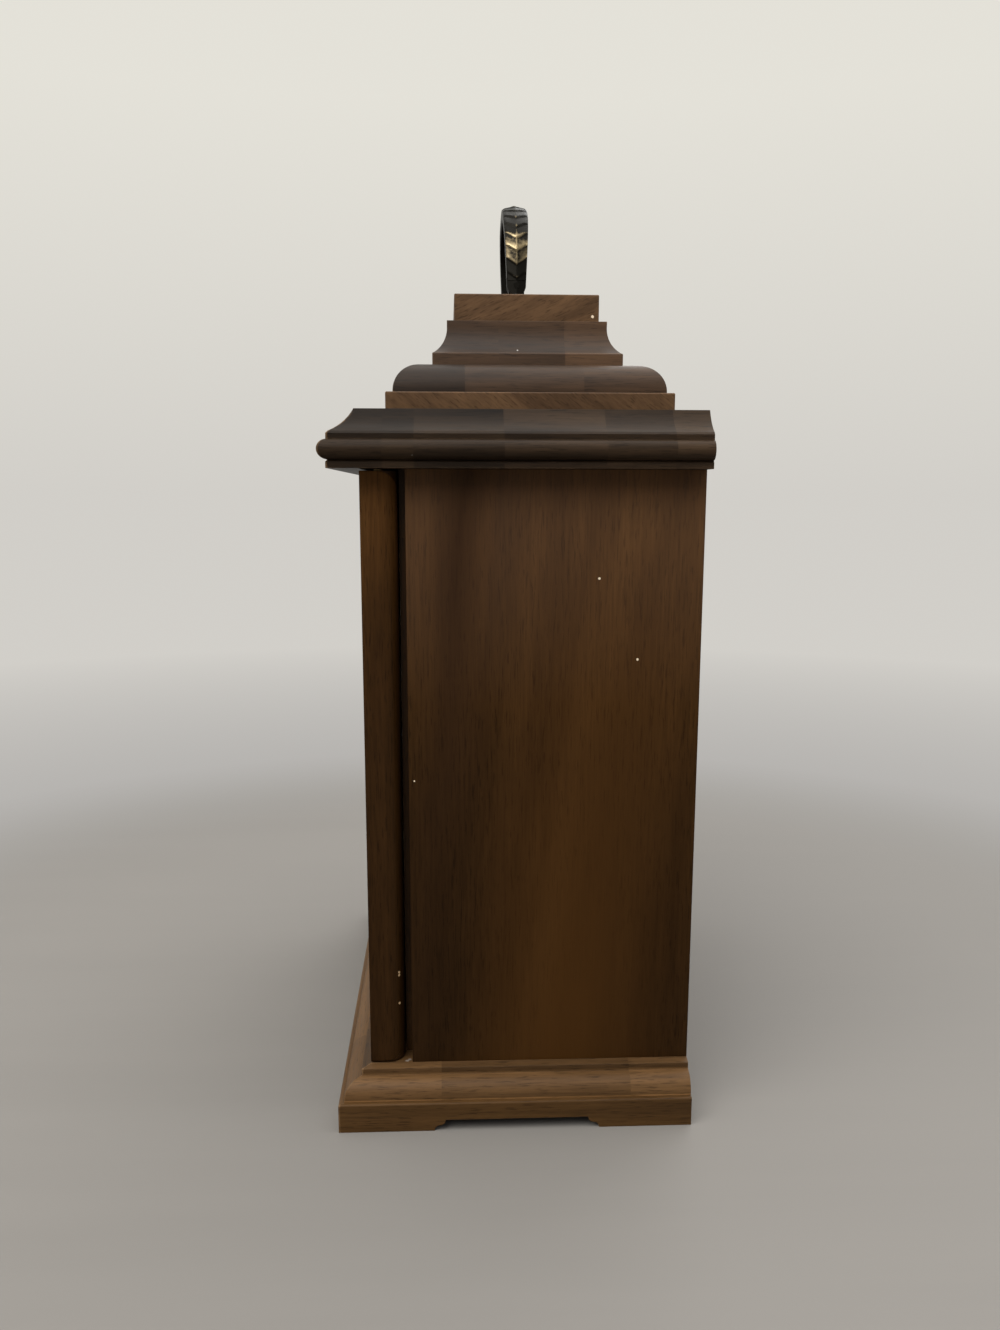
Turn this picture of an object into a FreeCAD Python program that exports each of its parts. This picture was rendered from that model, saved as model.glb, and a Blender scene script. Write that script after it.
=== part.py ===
import FreeCAD, Part
import Sketcher
import math
import os
from FreeCAD import Placement, Rotation, Vector

# Walnut bracket clock with a stepped caddy top and a folding brass carrying handle.
# Millimetres. X is the width, -Y the dial side, +Z up, with the origin on the floor
# under the middle of the whole clock.

doc = FreeCAD.newDocument("bracket_clock")

# Driving sizes. An "out" is how far a moulding stands out from the case sides and front.
SIZES = {
    # case
    "body_width": 254.0,
    "body_depth": 152.0,
    "body_height": 277.8,
    "board": 12.0,
    # plinth
    "plinth_height": 14.0,
    "plinth_out": 14.7,
    "plinth_round": 1.0,
    "foot_length": 45.0,
    "foot_cut": 5.4,
    "foot_curve_run": 5.2,
    "back_foot_length": 44.0,
    "base_board_thickness": 12.0,
    # base moulding
    "base_fillet": 0.6,
    "base_out": 12.2,
    "base_ovolo_height": 8.8,
    "base_ovolo_out": 4.6,
    "base_step_out": 4.2,
    "base_step_height": 3.1,
    "base_slope": 1.0,
    # cornice
    "cornice_fillet_out": 13.0,
    "cornice_fillet": 2.6,
    "cornice_neck": 0.95,
    "bead_radius": 4.25,
    "bead_centre_out": 12.1,
    "upper_fillet_out": 12.7,
    "upper_fillet": 2.35,
    "nosing": 1.0,
    "cornice_cove_radius": 22.0,
    "cornice_cove_height": 9.8,
    "cornice_top_out": 1.6,
    # stepped top
    "top_board_thickness": 12.0,
    "step_back": 12.9,
    "step_height": 8.2,
    "round_back": 16.0,
    "round_height": 13.0,
    "round_radius": 12.6,
    "cove_back": 33.4,
    "cove_nose_height": 6.0,
    "cove_radius": 12.7,
    "cove_foot": 6.7,
    "cove_fillet": 2.0,
    "cap_back": 43.5,
    "cap_height": 12.3,
    "edge_ease": 0.7,
    # front frame behind the door
    "front_stile_width": 17.0,
    "front_rail_height": 30.0,
    # door
    "door_thickness": 16.0,
    "door_gap": 3.8,
    "door_stop_gap": 0.6,
    "door_clearance": 0.8,
    "door_stile": 30.0,
    "door_ovolo": 4.0,
    "rabbet_width": 4.0,
    "rabbet_depth": 6.5,
    "glass_thickness": 2.0,
    "glass_clearance": 0.4,
    "bead_depth": 3.6,
    "pivot_radius": 2.0,
    "pivot_depth": 20.0,
    "pivot_seat": 9.0,
    "bush_radius": 3.5,
    "running_fit": 0.05,
    "knob_radius": 4.5,
    "knob_length": 9.5,
    "knob_neck": 2.2,
    "knob_shank": 12.0,
    "catch_radius": 3.0,
    "catch_length": 9.0,
    "catch_ball": 2.0,
    "catch_ball_out": 0.5,
    # back frame and back door
    "back_rail_height": 18.0,
    "back_rail_inset": 4.0,
    "back_rail_thickness": 14.0,
    "back_door_thickness": 10.0,
    "back_door_inset": 6.0,
    "back_door_clearance": 0.6,
    "back_pivot_in": 6.0,
    "back_knob_length": 5.5,
    "back_knob_shank": 7.0,
    "back_round": 4.8,
    "panel_margin": 30.0,
    "panel_sink": 2.0,
    # dial
    "dial_lap": 3.0,
    "dial_plate_thickness": 2.0,
    "chapter_margin": 12.0,
    "chapter_width": 24.0,
    "chapter_thickness": 1.6,
    "spandrel_thickness": 1.4,
    "spandrel_margin": 4.0,
    "spandrel_tip": 3.0,
    "spandrel_space": 14.0,
    "dial_hole": 4.4,
    "winding_hole": 4.0,
    "dial_foot_radius": 2.2,
    # hands
    "hand_thickness": 0.8,
    "hand_space": 2.4,
    "hour_hand_gap": 11.0,
    "hand_hub": 5.0,
    "hand_arm": 1.1,
    "spade_width": 4.2,
    "spade_length": 18.0,
    "nut_radius": 3.2,
    "nut_length": 2.0,
    # movement plates
    "motion_space": 10.0,
    "plate_thickness": 2.5,
    "plate_distance": 38.0,
    "plate_half_width": 45.0,
    "plate_top": 60.0,
    "plate_bottom": 58.0,
    "plate_corner": 8.0,
    "pillar_across": 36.0,
    "pillar_up": 51.0,
    "pillar_down": 49.0,
    "pillar_radius": 3.4,
    "pillar_collar": 4.8,
    "pillar_collar_length": 2.5,
    "pillar_end": 2.2,
    "foot_across": 22.0,
    "foot_up": 53.0,
    "foot_down": 51.0,
    "shoulder_gap": 0.4,
    "seat_thickness": 10.0,
    "seat_overhang": 3.0,
    "cleat_width": 14.0,
    # going train
    "barrel_module": 0.8,
    "centre_module": 0.6,
    "third_module": 0.5,
    "motion_module": 0.5,
    "hour_module": 0.48,
    "mesh_clearance": 0.05,
    "wheel_thickness": 1.5,
    "leaf_length": 3.6,
    "barrel_wheel_thickness": 2.5,
    "barrel_space": 4.0,
    "drum_radius": 22.0,
    "drum_length": 21.0,
    "winder_radius": 2.9,
    "winder_end": 2.0,
    "winder_square": 4.2,
    "winder_in_dial": 0.8,
    "arbor_radius": 1.5,
    "tip_radius": 0.8,
    "centre_radius": 2.0,
    "hand_post_radius": 1.2,
    "cannon_radius": 2.0,
    "cannon_gap": 1.2,
    "hour_wheel_gap": 0.5,
    "stud_radius": 1.2,
    "hour_pipe_radius": 3.1,
    "collet_radius": 4.0,
    "third_across": 10.0,
    "rim_width": 2.4,
    "spoke_width": 2.0,
    "wheel_gap": 2.2,
    # escapement and pendulum
    "escape_radius": 11.0,
    "anchor_rise": 15.0,
    "anchor_clearance": 0.9,
    "anchor_width": 3.0,
    "anchor_thickness": 2.0,
    "crutch_length": 36.0,
    "crutch_width": 3.0,
    "crutch_thickness": 1.5,
    "crutch_gap": 0.8,
    "cock_gap": 1.4,
    "cock_thickness": 2.5,
    "cock_half_width": 16.0,
    "cock_foot": 6.0,
    "cock_height": 9.0,
    "pendulum_clearance": 10.8,
    "pendulum_eye": 3.6,
    "eye_thickness": 3.0,
    "boss_radius": 2.6,
    "pendulum_stud": 1.5,
    "rod_width": 3.2,
    "rod_thickness": 1.6,
    "bob_radius": 22.0,
    "bob_thickness": 9.0,
    "bob_edge": 1.2,
    "rating_nut_radius": 4.0,
    "rating_nut_length": 4.0,
    # carrying handle
    "handle_forward": 1.5,
    "handle_half_span": 28.0,
    "handle_height": 56.5,
    "handle_width": 12.5,
    "handle_foot_width": 9.5,
    "handle_thickness": 7.0,
    "handle_crown": 1.6,
    "handle_taper_height": 34.0,
    "handle_pivot_rise": 13.0,
    "tongue_thickness": 3.0,
    "tongue_clearance": 0.1,
    "post_radius": 3.9,
    "post_flange_radius": 7.0,
    "post_flange": 2.0,
    "post_tail_radius": 2.5,
    "post_tail": 10.0,
    "shoulder_clearance": 0.9,
    "slot_clearance": 0.2,
    "handle_pin_radius": 1.5,
    # how far cutting shapes run past what they cut
    "overrun": 2.0,
}

# Tooth counts and the share of a tooth pitch or of a module that each part of a tooth takes.
BARREL_TEETH = 60
CENTRE_TEETH = 60
THIRD_TEETH = 60
PINION_LEAVES = 10
CANNON_LEAVES = 12
MINUTE_TEETH = 36
HOUR_TEETH = 40
ESCAPE_TEETH = 30
ROOT_SHARE = 0.5
TIP_SHARE = 0.2
WHEEL_SHARES = (0.9, 1.1)
LEAF_SHARES = (0.6, 1.35)
ESCAPE_SHARES = (0.0, 3.3)
WHEEL_SPOKES = 4
# How far round its bow the anchor reaches, and shares of a hand's spade and a pillar.
ANCHOR_SPREAD_SHARE = 0.76
SPADE_NECK_SHARE = 0.6
SPADE_BELLY_SHARE = 0.35
PILLAR_WAIST_SHARE = 0.75
NUT_FACE_SHARE = 0.8
NUT_BEVEL_SHARE = 0.3
# Where a corner piece of the dial starts, as a share of the way from the middle of the dial.
SPANDREL_START_SHARE = 0.23
# Degrees clockwise from twelve: the hands stand at ten past ten.
MINUTE_HAND_ANGLE = 60
HOUR_HAND_ANGLE = 305

sheet = doc.addObject("Spreadsheet::Sheet", "Dims")
for line, (alias, number) in enumerate(SIZES.items(), start=1):
    sheet.set("A%d" % line, alias)
    sheet.set("B%d" % line, str(number))
    sheet.setAlias("B%d" % line, alias)
doc.recompute()


class Size:
    """A size of the sheet or a sum of such sizes: its number and its expression."""

    def __init__(self, number, text):
        self.number = float(number)
        self.text = text

    def __add__(self, other):
        other = as_size(other)
        return Size(self.number + other.number, "(%s + %s)" % (self.text, other.text))

    def __sub__(self, other):
        other = as_size(other)
        return Size(self.number - other.number, "(%s - %s)" % (self.text, other.text))

    def __mul__(self, other):
        other = as_size(other)
        return Size(self.number * other.number, "(%s * %s)" % (self.text, other.text))

    def __truediv__(self, other):
        other = as_size(other)
        return Size(self.number / other.number, "(%s / %s)" % (self.text, other.text))

    def __neg__(self):
        return Size(-self.number, "(-1 * %s)" % self.text)

    __radd__ = __add__
    __rmul__ = __mul__


def as_size(value):
    """Lets plain counts and zero stand in sums with named sizes."""
    if isinstance(value, Size):
        return value
    return Size(value, "(%s)" % repr(float(value)))


def root(value):
    return Size(math.sqrt(value.number), "sqrt(%s)" % value.text)


def lesser(first, second):
    """The shorter of two sizes, for a round piece inside an oblong one."""
    return Size(min(first.number, second.number), "min(%s; %s)" % (first.text, second.text))


class Dims:
    """Reads the sheet: dims.body_width is the size with that alias."""

    def __getattr__(self, alias):
        return Size(sheet.get(alias), "Dims." + alias)


dims = Dims()
ZERO = as_size(0)
PARTS = []


def part(item, label):
    """Marks an object as one sub-part, named by its label."""
    item.Label = label
    if item.Label != label:
        raise RuntimeError("the name %s is taken" % label)
    PARTS.append(item)
    return item


def bind(item, **sizes):
    for name, size in sizes.items():
        item.setExpression(name, as_size(size).text)


def place(item, x, y, z, turn=None):
    """Puts an object at a named place, turned as a constant rotation says."""
    spot = [as_size(value) for value in (x, y, z)]
    item.Placement = Placement(Vector(*[size.number for size in spot]), turn or Rotation())
    for axis, size in zip("xyz", spot):
        item.setExpression("Placement.Base." + axis, size.text)
    return item


def box(name, xs, ys, zs):
    """A block between two named planes each way."""
    item = doc.addObject("Part::Box", name)
    bind(item, Length=xs[1] - xs[0], Width=ys[1] - ys[0], Height=zs[1] - zs[0])
    return place(item, xs[0], ys[0], zs[0])


def rod(name, radius, length, x, y, z, turn=None):
    """A round bar that starts at a named point and runs up, or along the turned Z."""
    item = doc.addObject("Part::Cylinder", name)
    bind(item, Radius=radius, Height=length)
    return place(item, x, y, z, turn)


def cut(name, base, *tools):
    for count, tool in enumerate(tools):
        item = doc.addObject("Part::Cut", "%s_cut_%d" % (name, count))
        item.Base = base
        item.Tool = tool
        base = item
    return base


def fuse(name, *items):
    item = doc.addObject("Part::MultiFuse", name)
    item.Shapes = list(items)
    return item


def common(name, *items):
    item = doc.addObject("Part::MultiCommon", name)
    item.Shapes = list(items)
    return item


def group(name, *items):
    """Several separate solids of one kind, kept in one sub-part."""
    item = doc.addObject("Part::Compound", name)
    item.Links = list(items)
    return item


# Sketches: an outline is a list of corners (x, y), or (x, y, radius, bend) where an arc
# leads to the next corner, its centre on the left for a bend of 1 and on the right for -1.
# A sketch numbers the two ends of a piece, and an arc always starts at its clockwise end.
START_INDEX = 1
END_INDEX = 2


def other(end):
    return END_INDEX if end == START_INDEX else START_INDEX


def arc_between(start, end, radius, bend):
    chord = end - start
    rise = math.sqrt(max(radius ** 2 - (chord.Length / 2) ** 2, 0))
    side = Vector(-chord.y, chord.x, 0).normalize()
    centre = (start + end) * 0.5 + side * (rise * bend)
    first, last = (start, end) if bend > 0 else (end, start)
    angles = [math.atan2(point.y - centre.y, point.x - centre.x) for point in (first, last)]
    if angles[1] < angles[0]:
        angles[1] += 2 * math.pi
    return Part.ArcOfCircle(Part.Circle(centre, Vector(0, 0, 1), radius), angles[0], angles[1])


def outline(sketch, corners):
    """Draws one closed outline, with every corner and radius held by its expression."""
    spots = [Vector(as_size(c[0]).number, as_size(c[1]).number, 0) for c in corners]
    count = len(corners)
    base = sketch.GeometryCount
    pieces = []
    starts = []
    for index, corner in enumerate(corners):
        here, there = spots[index], spots[(index + 1) % count]
        if len(corner) == 4:
            pieces.append(arc_between(here, there, corner[2].number, corner[3]))
            starts.append(START_INDEX if corner[3] > 0 else END_INDEX)
        else:
            pieces.append(Part.LineSegment(here, there))
            starts.append(START_INDEX)
    sketch.addGeometry(pieces)
    joins = []
    for index in range(count):
        following = (index + 1) % count
        joins.append(Sketcher.Constraint("Coincident", base + index, other(starts[index]),
                                         base + following, starts[following]))
    sketch.addConstraint(joins)
    for index, corner in enumerate(corners):
        for kind, size in (("DistanceX", as_size(corner[0])), ("DistanceY", as_size(corner[1]))):
            hold(sketch, Sketcher.Constraint(kind, -1, 1, base + index, starts[index],
                                             size.number), size)
        if len(corner) == 4:
            hold(sketch, Sketcher.Constraint("Radius", base + index, corner[2].number), corner[2])


def open_path(sketch, corners):
    """Draws a path of lines and arcs that ends at its last corner, held like an outline."""
    spots = [Vector(as_size(c[0]).number, as_size(c[1]).number, 0) for c in corners]
    pieces = []
    starts = []
    for index, corner in enumerate(corners[:-1]):
        here, there = spots[index], spots[index + 1]
        if len(corner) == 4:
            pieces.append(arc_between(here, there, corner[2].number, corner[3]))
            starts.append(START_INDEX if corner[3] > 0 else END_INDEX)
        else:
            pieces.append(Part.LineSegment(here, there))
            starts.append(START_INDEX)
    sketch.addGeometry(pieces)
    for index in range(1, len(pieces)):
        sketch.addConstraint(Sketcher.Constraint("Coincident", index - 1,
                                                 other(starts[index - 1]), index, starts[index]))
    for index, corner in enumerate(corners):
        piece = min(index, len(pieces) - 1)
        end = starts[piece] if index < len(pieces) else other(starts[piece])
        for kind, size in (("DistanceX", as_size(corner[0])), ("DistanceY", as_size(corner[1]))):
            hold(sketch, Sketcher.Constraint(kind, -1, 1, piece, end, size.number), size)
        if len(corner) == 4:
            hold(sketch, Sketcher.Constraint("Radius", index, corner[2].number), corner[2])


def hold(sketch, constraint, size):
    number = sketch.addConstraint(constraint)
    sketch.setExpression("Constraints[%d]" % number, size.text)


def ring(sketch, x, y, radius):
    """Draws a full circle held by its centre and radius."""
    x, y = as_size(x), as_size(y)
    number = sketch.addGeometry(Part.Circle(Vector(x.number, y.number, 0), Vector(0, 0, 1),
                                            radius.number))
    hold(sketch, Sketcher.Constraint("DistanceX", -1, 1, number, 3, x.number), x)
    hold(sketch, Sketcher.Constraint("DistanceY", -1, 1, number, 3, y.number), y)
    hold(sketch, Sketcher.Constraint("Radius", number, radius.number), radius)


def new_body(name):
    return doc.addObject("PartDesign::Body", name)


def sketch_on(body, role, outlines=(), rings=(), lift=ZERO):
    """A sketch on one of the body's own planes: XY, XZ (facing -Y) or YZ (facing +X)."""
    sketch = body.newObject("Sketcher::SketchObject", body.Name + "_sketch")
    support = [item for item in body.Origin.OriginFeatures if item.Role == role + "_Plane"]
    sketch.AttachmentSupport = (support[0], [""])
    sketch.MapMode = "FlatFace"
    sketch.AttachmentOffset = Placement(Vector(0, 0, lift.number), Rotation())
    sketch.setExpression("AttachmentOffset.Base.z", lift.text)
    for corners in outlines:
        outline(sketch, corners)
    for circle in rings:
        ring(sketch, *circle)
    return sketch


def pad(body, sketch, length):
    """Grows the sketch along the way its plane faces."""
    item = body.newObject("PartDesign::Pad", body.Name + "_pad")
    item.Profile = sketch
    bind(item, Length=length)
    return item


def pocket(body, sketch, length, forward=False):
    """Cuts against the way the sketch faces, or that way, and has to remove something."""
    before = body.Tip
    doc.recompute()
    item = body.newObject("PartDesign::Pocket", body.Name + "_pocket")
    item.Profile = sketch
    item.Reversed = forward
    bind(item, Length=length)
    doc.recompute()
    if item.Shape.Volume >= before.Shape.Volume:
        raise RuntimeError("%s: a pocket cuts nothing" % body.Name)
    return item


def revolve(body, sketch):
    """Turns the sketch a full turn about its own upright axis."""
    item = body.newObject("PartDesign::Revolution", body.Name + "_turning")
    item.Profile = sketch
    item.ReferenceAxis = (sketch, ["V_Axis"])
    item.Angle = 360
    return item


def mirrored(corners):
    """The same outline on the other side of the upright axis."""
    return [(-as_size(c[0]), c[1]) + ((c[2], -c[3]) if len(c) == 4 else ()) for c in corners]


# Places that many pieces share. Depth is measured from the front face of the case.
half_width = dims.body_width / 2
bead_out = dims.bead_centre_out + dims.bead_radius
front = (bead_out - dims.body_depth) / 2
back = front + dims.body_depth
inner = half_width - dims.board
base_height = (dims.base_fillet + dims.base_ovolo_height + dims.base_step_height
               + dims.base_slope)
body_foot = dims.plinth_height + base_height
body_head = body_foot + dims.body_height
bead_low = dims.cornice_fillet + dims.cornice_neck
nosing_low = bead_low + dims.bead_radius * 2 + dims.upper_fillet
cornice_height = nosing_low + dims.nosing + dims.cornice_cove_height
case_top = body_head + cornice_height
panel_front = front + dims.door_thickness + dims.door_gap
frame_back = panel_front + dims.board
top_middle = (front - dims.cornice_top_out + back) / 2


# Mouldings and plinth: one cross-section (out, height) runs along the front and both sides,
# mitred at the front corners outside the case and butted behind the front piece inside it.

def plinth_section():
    return [
        (-dims.board, ZERO),
        (dims.plinth_out, ZERO),
        (dims.plinth_out, dims.plinth_height - dims.plinth_round, dims.plinth_round, 1),
        (dims.plinth_out - dims.plinth_round, dims.plinth_height),
        (-dims.board, dims.plinth_height),
    ]


def base_section():
    low = dims.plinth_height
    ovolo_low = low + dims.base_fillet
    ovolo_top = ovolo_low + dims.base_ovolo_height
    run = dims.base_out - dims.base_ovolo_out
    chord = root(run * run + dims.base_ovolo_height * dims.base_ovolo_height)
    return [
        (-dims.board, low),
        (dims.base_out, low),
        (dims.base_out, ovolo_low, chord * math.sqrt(0.5), 1),
        (dims.base_ovolo_out, ovolo_top),
        (dims.base_step_out, ovolo_top),
        (dims.base_step_out, ovolo_top + dims.base_step_height),
        (ZERO, body_foot),
        (-dims.board, body_foot),
    ]


def cornice_section():
    low = body_head
    bead = low + bead_low
    upper = bead + dims.bead_radius * 2
    nose = low + nosing_low
    return [
        (-dims.board, low),
        (dims.cornice_fillet_out, low),
        (dims.cornice_fillet_out, low + dims.cornice_fillet),
        (dims.bead_centre_out, bead, dims.bead_radius, 1),
        (bead_out, bead + dims.bead_radius, dims.bead_radius, 1),
        (dims.bead_centre_out, upper),
        (dims.upper_fillet_out, upper),
        (dims.upper_fillet_out, nose),
        (dims.upper_fillet_out - dims.nosing, nose + dims.nosing, dims.cornice_cove_radius, -1),
        (dims.cornice_top_out, case_top),
        (-dims.board, case_top),
    ]


def front_moulding(name, section, out, low, high):
    """The front length, with its ends mitred outside the case."""
    body = new_body(name)
    ends = half_width + out
    across = [(front - c[0], c[1]) + ((c[2], -c[3]) if len(c) == 4 else ()) for c in section]
    pad(body, sketch_on(body, "YZ", [across], lift=-ends), ends * 2)
    past = dims.overrun
    waste = [
        (half_width, front + dims.board + past),
        (half_width, front),
        (ends + past, front - out - past),
        (ends + past, front + dims.board + past),
    ]
    plan = sketch_on(body, "XY", [waste, mirrored(waste)], lift=high + past)
    pocket(body, plan, high - low + past * 2)
    return body


def side_moulding(name, section, side, out, low, high):
    """A side length from the front mitre back to the rear face of the case."""
    body = new_body(name)
    across = [(half_width + c[0],) + tuple(c[1:]) for c in section]
    if side < 0:
        across = mirrored(across)
    pad(body, sketch_on(body, "XZ", [across], lift=-back), dims.body_depth + out)
    past = dims.overrun
    waste = [
        (inner - past, front + dims.board),
        (half_width, front + dims.board),
        (half_width, front),
        (half_width + out + past, front - out - past),
        (inner - past, front - out - past),
    ]
    if side < 0:
        waste = mirrored(waste)
    plan = sketch_on(body, "XY", [waste], lift=high + past)
    pocket(body, plan, high - low + past * 2)
    return body


def foot_cut_outline(start, end):
    """The cut between two feet, with a double curve at each end."""
    half_run = dims.foot_curve_run / 2
    half_cut = dims.foot_cut / 2
    bend = root(half_run * half_run + half_cut * half_cut) * math.sqrt(0.5)
    low = -dims.overrun
    return [
        (start, low),
        (end, low),
        (end, ZERO, bend, 1),
        (end - half_run, half_cut, bend, -1),
        (end - dims.foot_curve_run, dims.foot_cut),
        (start + dims.foot_curve_run, dims.foot_cut, bend, -1),
        (start + half_run, half_cut, bend, 1),
        (start, ZERO),
    ]


def plinth():
    out = dims.plinth_out
    body = front_moulding("plinth_front", plinth_section(), out, ZERO, dims.plinth_height)
    reach = half_width + out - dims.foot_length
    sketch = sketch_on(body, "XZ", [foot_cut_outline(-reach, reach)],
                       lift=-(front + dims.board + dims.overrun))
    pocket(body, sketch, dims.board + out + dims.overrun * 2, forward=True)
    part(body, "plinth_front")
    for side, word in ((-1, "left"), (1, "right")):
        body = side_moulding("plinth_" + word, plinth_section(), side, out, ZERO,
                             dims.plinth_height)
        outer = half_width + out + dims.overrun
        start = front - out + dims.foot_length
        end = back - dims.back_foot_length
        lift = -(inner - dims.overrun) if side < 0 else outer
        sketch = sketch_on(body, "YZ", [foot_cut_outline(start, end)], lift=lift)
        pocket(body, sketch, out + dims.board + dims.overrun * 2)
        part(body, "plinth_" + word)
    board = box("plinth_back", (-inner, inner), (back - dims.board, back),
                (dims.foot_cut, body_foot))
    part(board, "plinth_back")


def base_moulding():
    low, high = dims.plinth_height, body_foot
    body = front_moulding("base_moulding_front", base_section(), dims.base_out, low, high)
    drill(body, hinge_x, hinge_y, dims.bush_radius, high, dims.pivot_seat, False)
    part(body, "base_moulding_front")
    for side, word in ((-1, "left"), (1, "right")):
        body = side_moulding("base_moulding_" + word, base_section(), side, dims.base_out,
                             low, high)
        part(body, "base_moulding_" + word)
    board = box("base_board", (-inner, inner), (front + dims.board, back - dims.board),
                (body_foot - dims.base_board_thickness, body_foot))
    part(board, "base_board")


def cornice():
    low, high = body_head, case_top
    body = front_moulding("cornice_front", cornice_section(), bead_out, low, high)
    drill(body, hinge_x, hinge_y, dims.bush_radius, low, dims.pivot_seat, True)
    part(body, "cornice_front")
    for side, word in ((-1, "left"), (1, "right")):
        body = side_moulding("cornice_" + word, cornice_section(), side, bead_out, low, high)
        part(body, "cornice_" + word)
    board = box("top_board", (-inner, inner), (front + dims.board, back),
                (case_top - dims.top_board_thickness, case_top))
    part(board, "top_board")


def carcass():
    """Side panels, the frame behind the door and the rails that hold the back door."""
    for side, word in ((-1, "left"), (1, "right")):
        xs = (inner, half_width) if side > 0 else (-half_width, -inner)
        part(box("side_panel_" + word, xs, (panel_front, back), (body_foot, body_head)),
             "side_panel_" + word)
    rails_top = case_top - dims.top_board_thickness
    opening = inner - dims.front_stile_width
    low = body_foot + dims.front_rail_height
    high = body_head - dims.front_rail_height
    depth = (front + dims.door_thickness + dims.door_stop_gap, frame_back)
    part(group("front_stiles",
               box("front_stile_left", (-inner, -opening), depth, (low, high)),
               box("front_stile_right", (opening, inner), depth, (low, high))),
         "front_stiles")
    part(group("front_rails",
               box("front_rail_low", (-inner, inner), depth, (body_foot, low)),
               box("front_rail_high", (-inner, inner), depth, (high, rails_top))),
         "front_rails")
    rail_back = back - dims.back_rail_inset
    depth = (rail_back - dims.back_rail_thickness, rail_back)
    rails = []
    for word, zs, z, up in (("low", (body_foot, back_opening_low), back_opening_low, False),
                            ("high", (back_opening_high, rails_top), back_opening_high, True)):
        rail = box("back_rail_" + word, (-inner, inner), depth, zs)
        seat = bush_hole("back_bush_seat_" + word, back_hinge_x, back_hinge_y, z, up)
        rails.append(cut("back_rail_bored_" + word, rail, seat))
    part(group("back_rails", *rails), "back_rails")


def hinge_bushes():
    places = [(hinge_x, hinge_y, body_foot, False), (hinge_x, hinge_y, body_head, True),
              (back_hinge_x, back_hinge_y, back_opening_low, False),
              (back_hinge_x, back_hinge_y, back_opening_high, True)]
    part(group("pivot_bushes", *[bush("bush_%d" % number, *spot)
                                 for number, spot in enumerate(places)]), "pivot_bushes")


# Stepped top: each tier is set back alike on all sides, with mitred corners, as the common
# solid of one section run across and the same section run from front to back.

def symmetric(right):
    """Closes the right half of a section, listed from the foot up, with its mirror image."""
    corners = list(right)
    for index in range(len(right) - 1, -1, -1):
        x, y = right[index][0], right[index][1]
        if index > 0 and len(right[index - 1]) == 4:
            corners.append((-x, y, right[index - 1][2], right[index - 1][3]))
        else:
            corners.append((-x, y))
    return corners


def stepped_top():
    half_x = half_width + dims.cornice_top_out
    half_y = (back - front + dims.cornice_top_out) / 2
    low = case_top
    step_top = low + dims.step_height
    round_top = step_top + dims.round_height
    nose_top = round_top + dims.cove_nose_height
    cove_top = nose_top + dims.cove_radius
    cove_end = cove_top + dims.cove_fillet
    cap_top = cove_end + dims.cap_height
    ease = dims.edge_ease

    def step_section(half):
        edge = half - dims.step_back
        return [(edge, low), (edge, step_top - ease, ease, 1), (edge - ease, step_top)]

    def round_section(half):
        edge = half - dims.round_back
        return [(edge, step_top), (edge, round_top - dims.round_radius, dims.round_radius, 1),
                (edge - dims.round_radius, round_top)]

    def cove_section(half):
        edge = half - dims.cove_back
        inside = edge - dims.cove_foot
        bend = dims.cove_radius
        run = root(dims.cove_foot * dims.cove_foot + bend * bend)
        return [(edge, round_top), (edge, nose_top - ease, ease, 1), (edge - ease, nose_top, run, -1),
                (inside, cove_top), (inside, cove_end)]

    def cap_section(half):
        edge = half - dims.cap_back
        return [(edge, cove_end), (edge, cap_top - ease, ease, 1), (edge - ease, cap_top)]

    for name, section in (("tier_step", step_section), ("tier_round", round_section),
                          ("tier_cove", cove_section), ("cap_block", cap_section)):
        runs = []
        for role, half, length in (("YZ", half_y, half_x), ("XZ", half_x, half_y)):
            body = new_body("%s_%s" % (name, role.lower()))
            pad(body, sketch_on(body, role, [symmetric(section(half))], lift=-length),
                length * 2)
            runs.append(body)
        if name != "cap_block":
            part(place(common(name, *runs), ZERO, top_middle, ZERO), name)
            continue
        item = place(common("cap_solid", *runs), ZERO, top_middle, ZERO)
        holes = [rod("post_hole_%d" % side, dims.post_tail_radius,
                     dims.post_tail + dims.overrun,
                     dims.handle_half_span * side, top_middle - dims.handle_forward,
                     cap_top - dims.post_tail) for side in (-1, 1)]
        part(cut(name, item, *holes), name)
    return cap_top


# Hinge pivots: a brass pin let into a door's end turns in a bush let into the case.

def bush_hole(name, x, y, z, up):
    """The seat that a bush fills, from a horizontal face at z upwards or downwards."""
    low = z if up else z - dims.pivot_seat
    return rod(name, dims.bush_radius, dims.pivot_seat, x, y, low)


def bush(name, x, y, z, up):
    low = z if up else z - dims.pivot_seat
    bore = dims.pivot_radius + dims.running_fit
    return place(turned(name, [
        (bore, ZERO),
        (dims.bush_radius, ZERO),
        (dims.bush_radius, dims.pivot_seat),
        (bore, dims.pivot_seat),
    ]), x, y, low)


def turned(name, corners):
    """A turned piece: its profile (radius, height) revolved about Z."""
    body = new_body(name)
    revolve(body, sketch_on(body, "XZ", [corners]))
    return body


def pivot_pins(name, x, y, low, high):
    """Two pins let into the ends of a door between two heights."""
    length = dims.pivot_depth + dims.pivot_seat
    return group(name,
                 rod(name + "_low", dims.pivot_radius, length, x, y, low - dims.pivot_seat),
                 rod(name + "_high", dims.pivot_radius, length, x, y, high - dims.pivot_depth))


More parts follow.
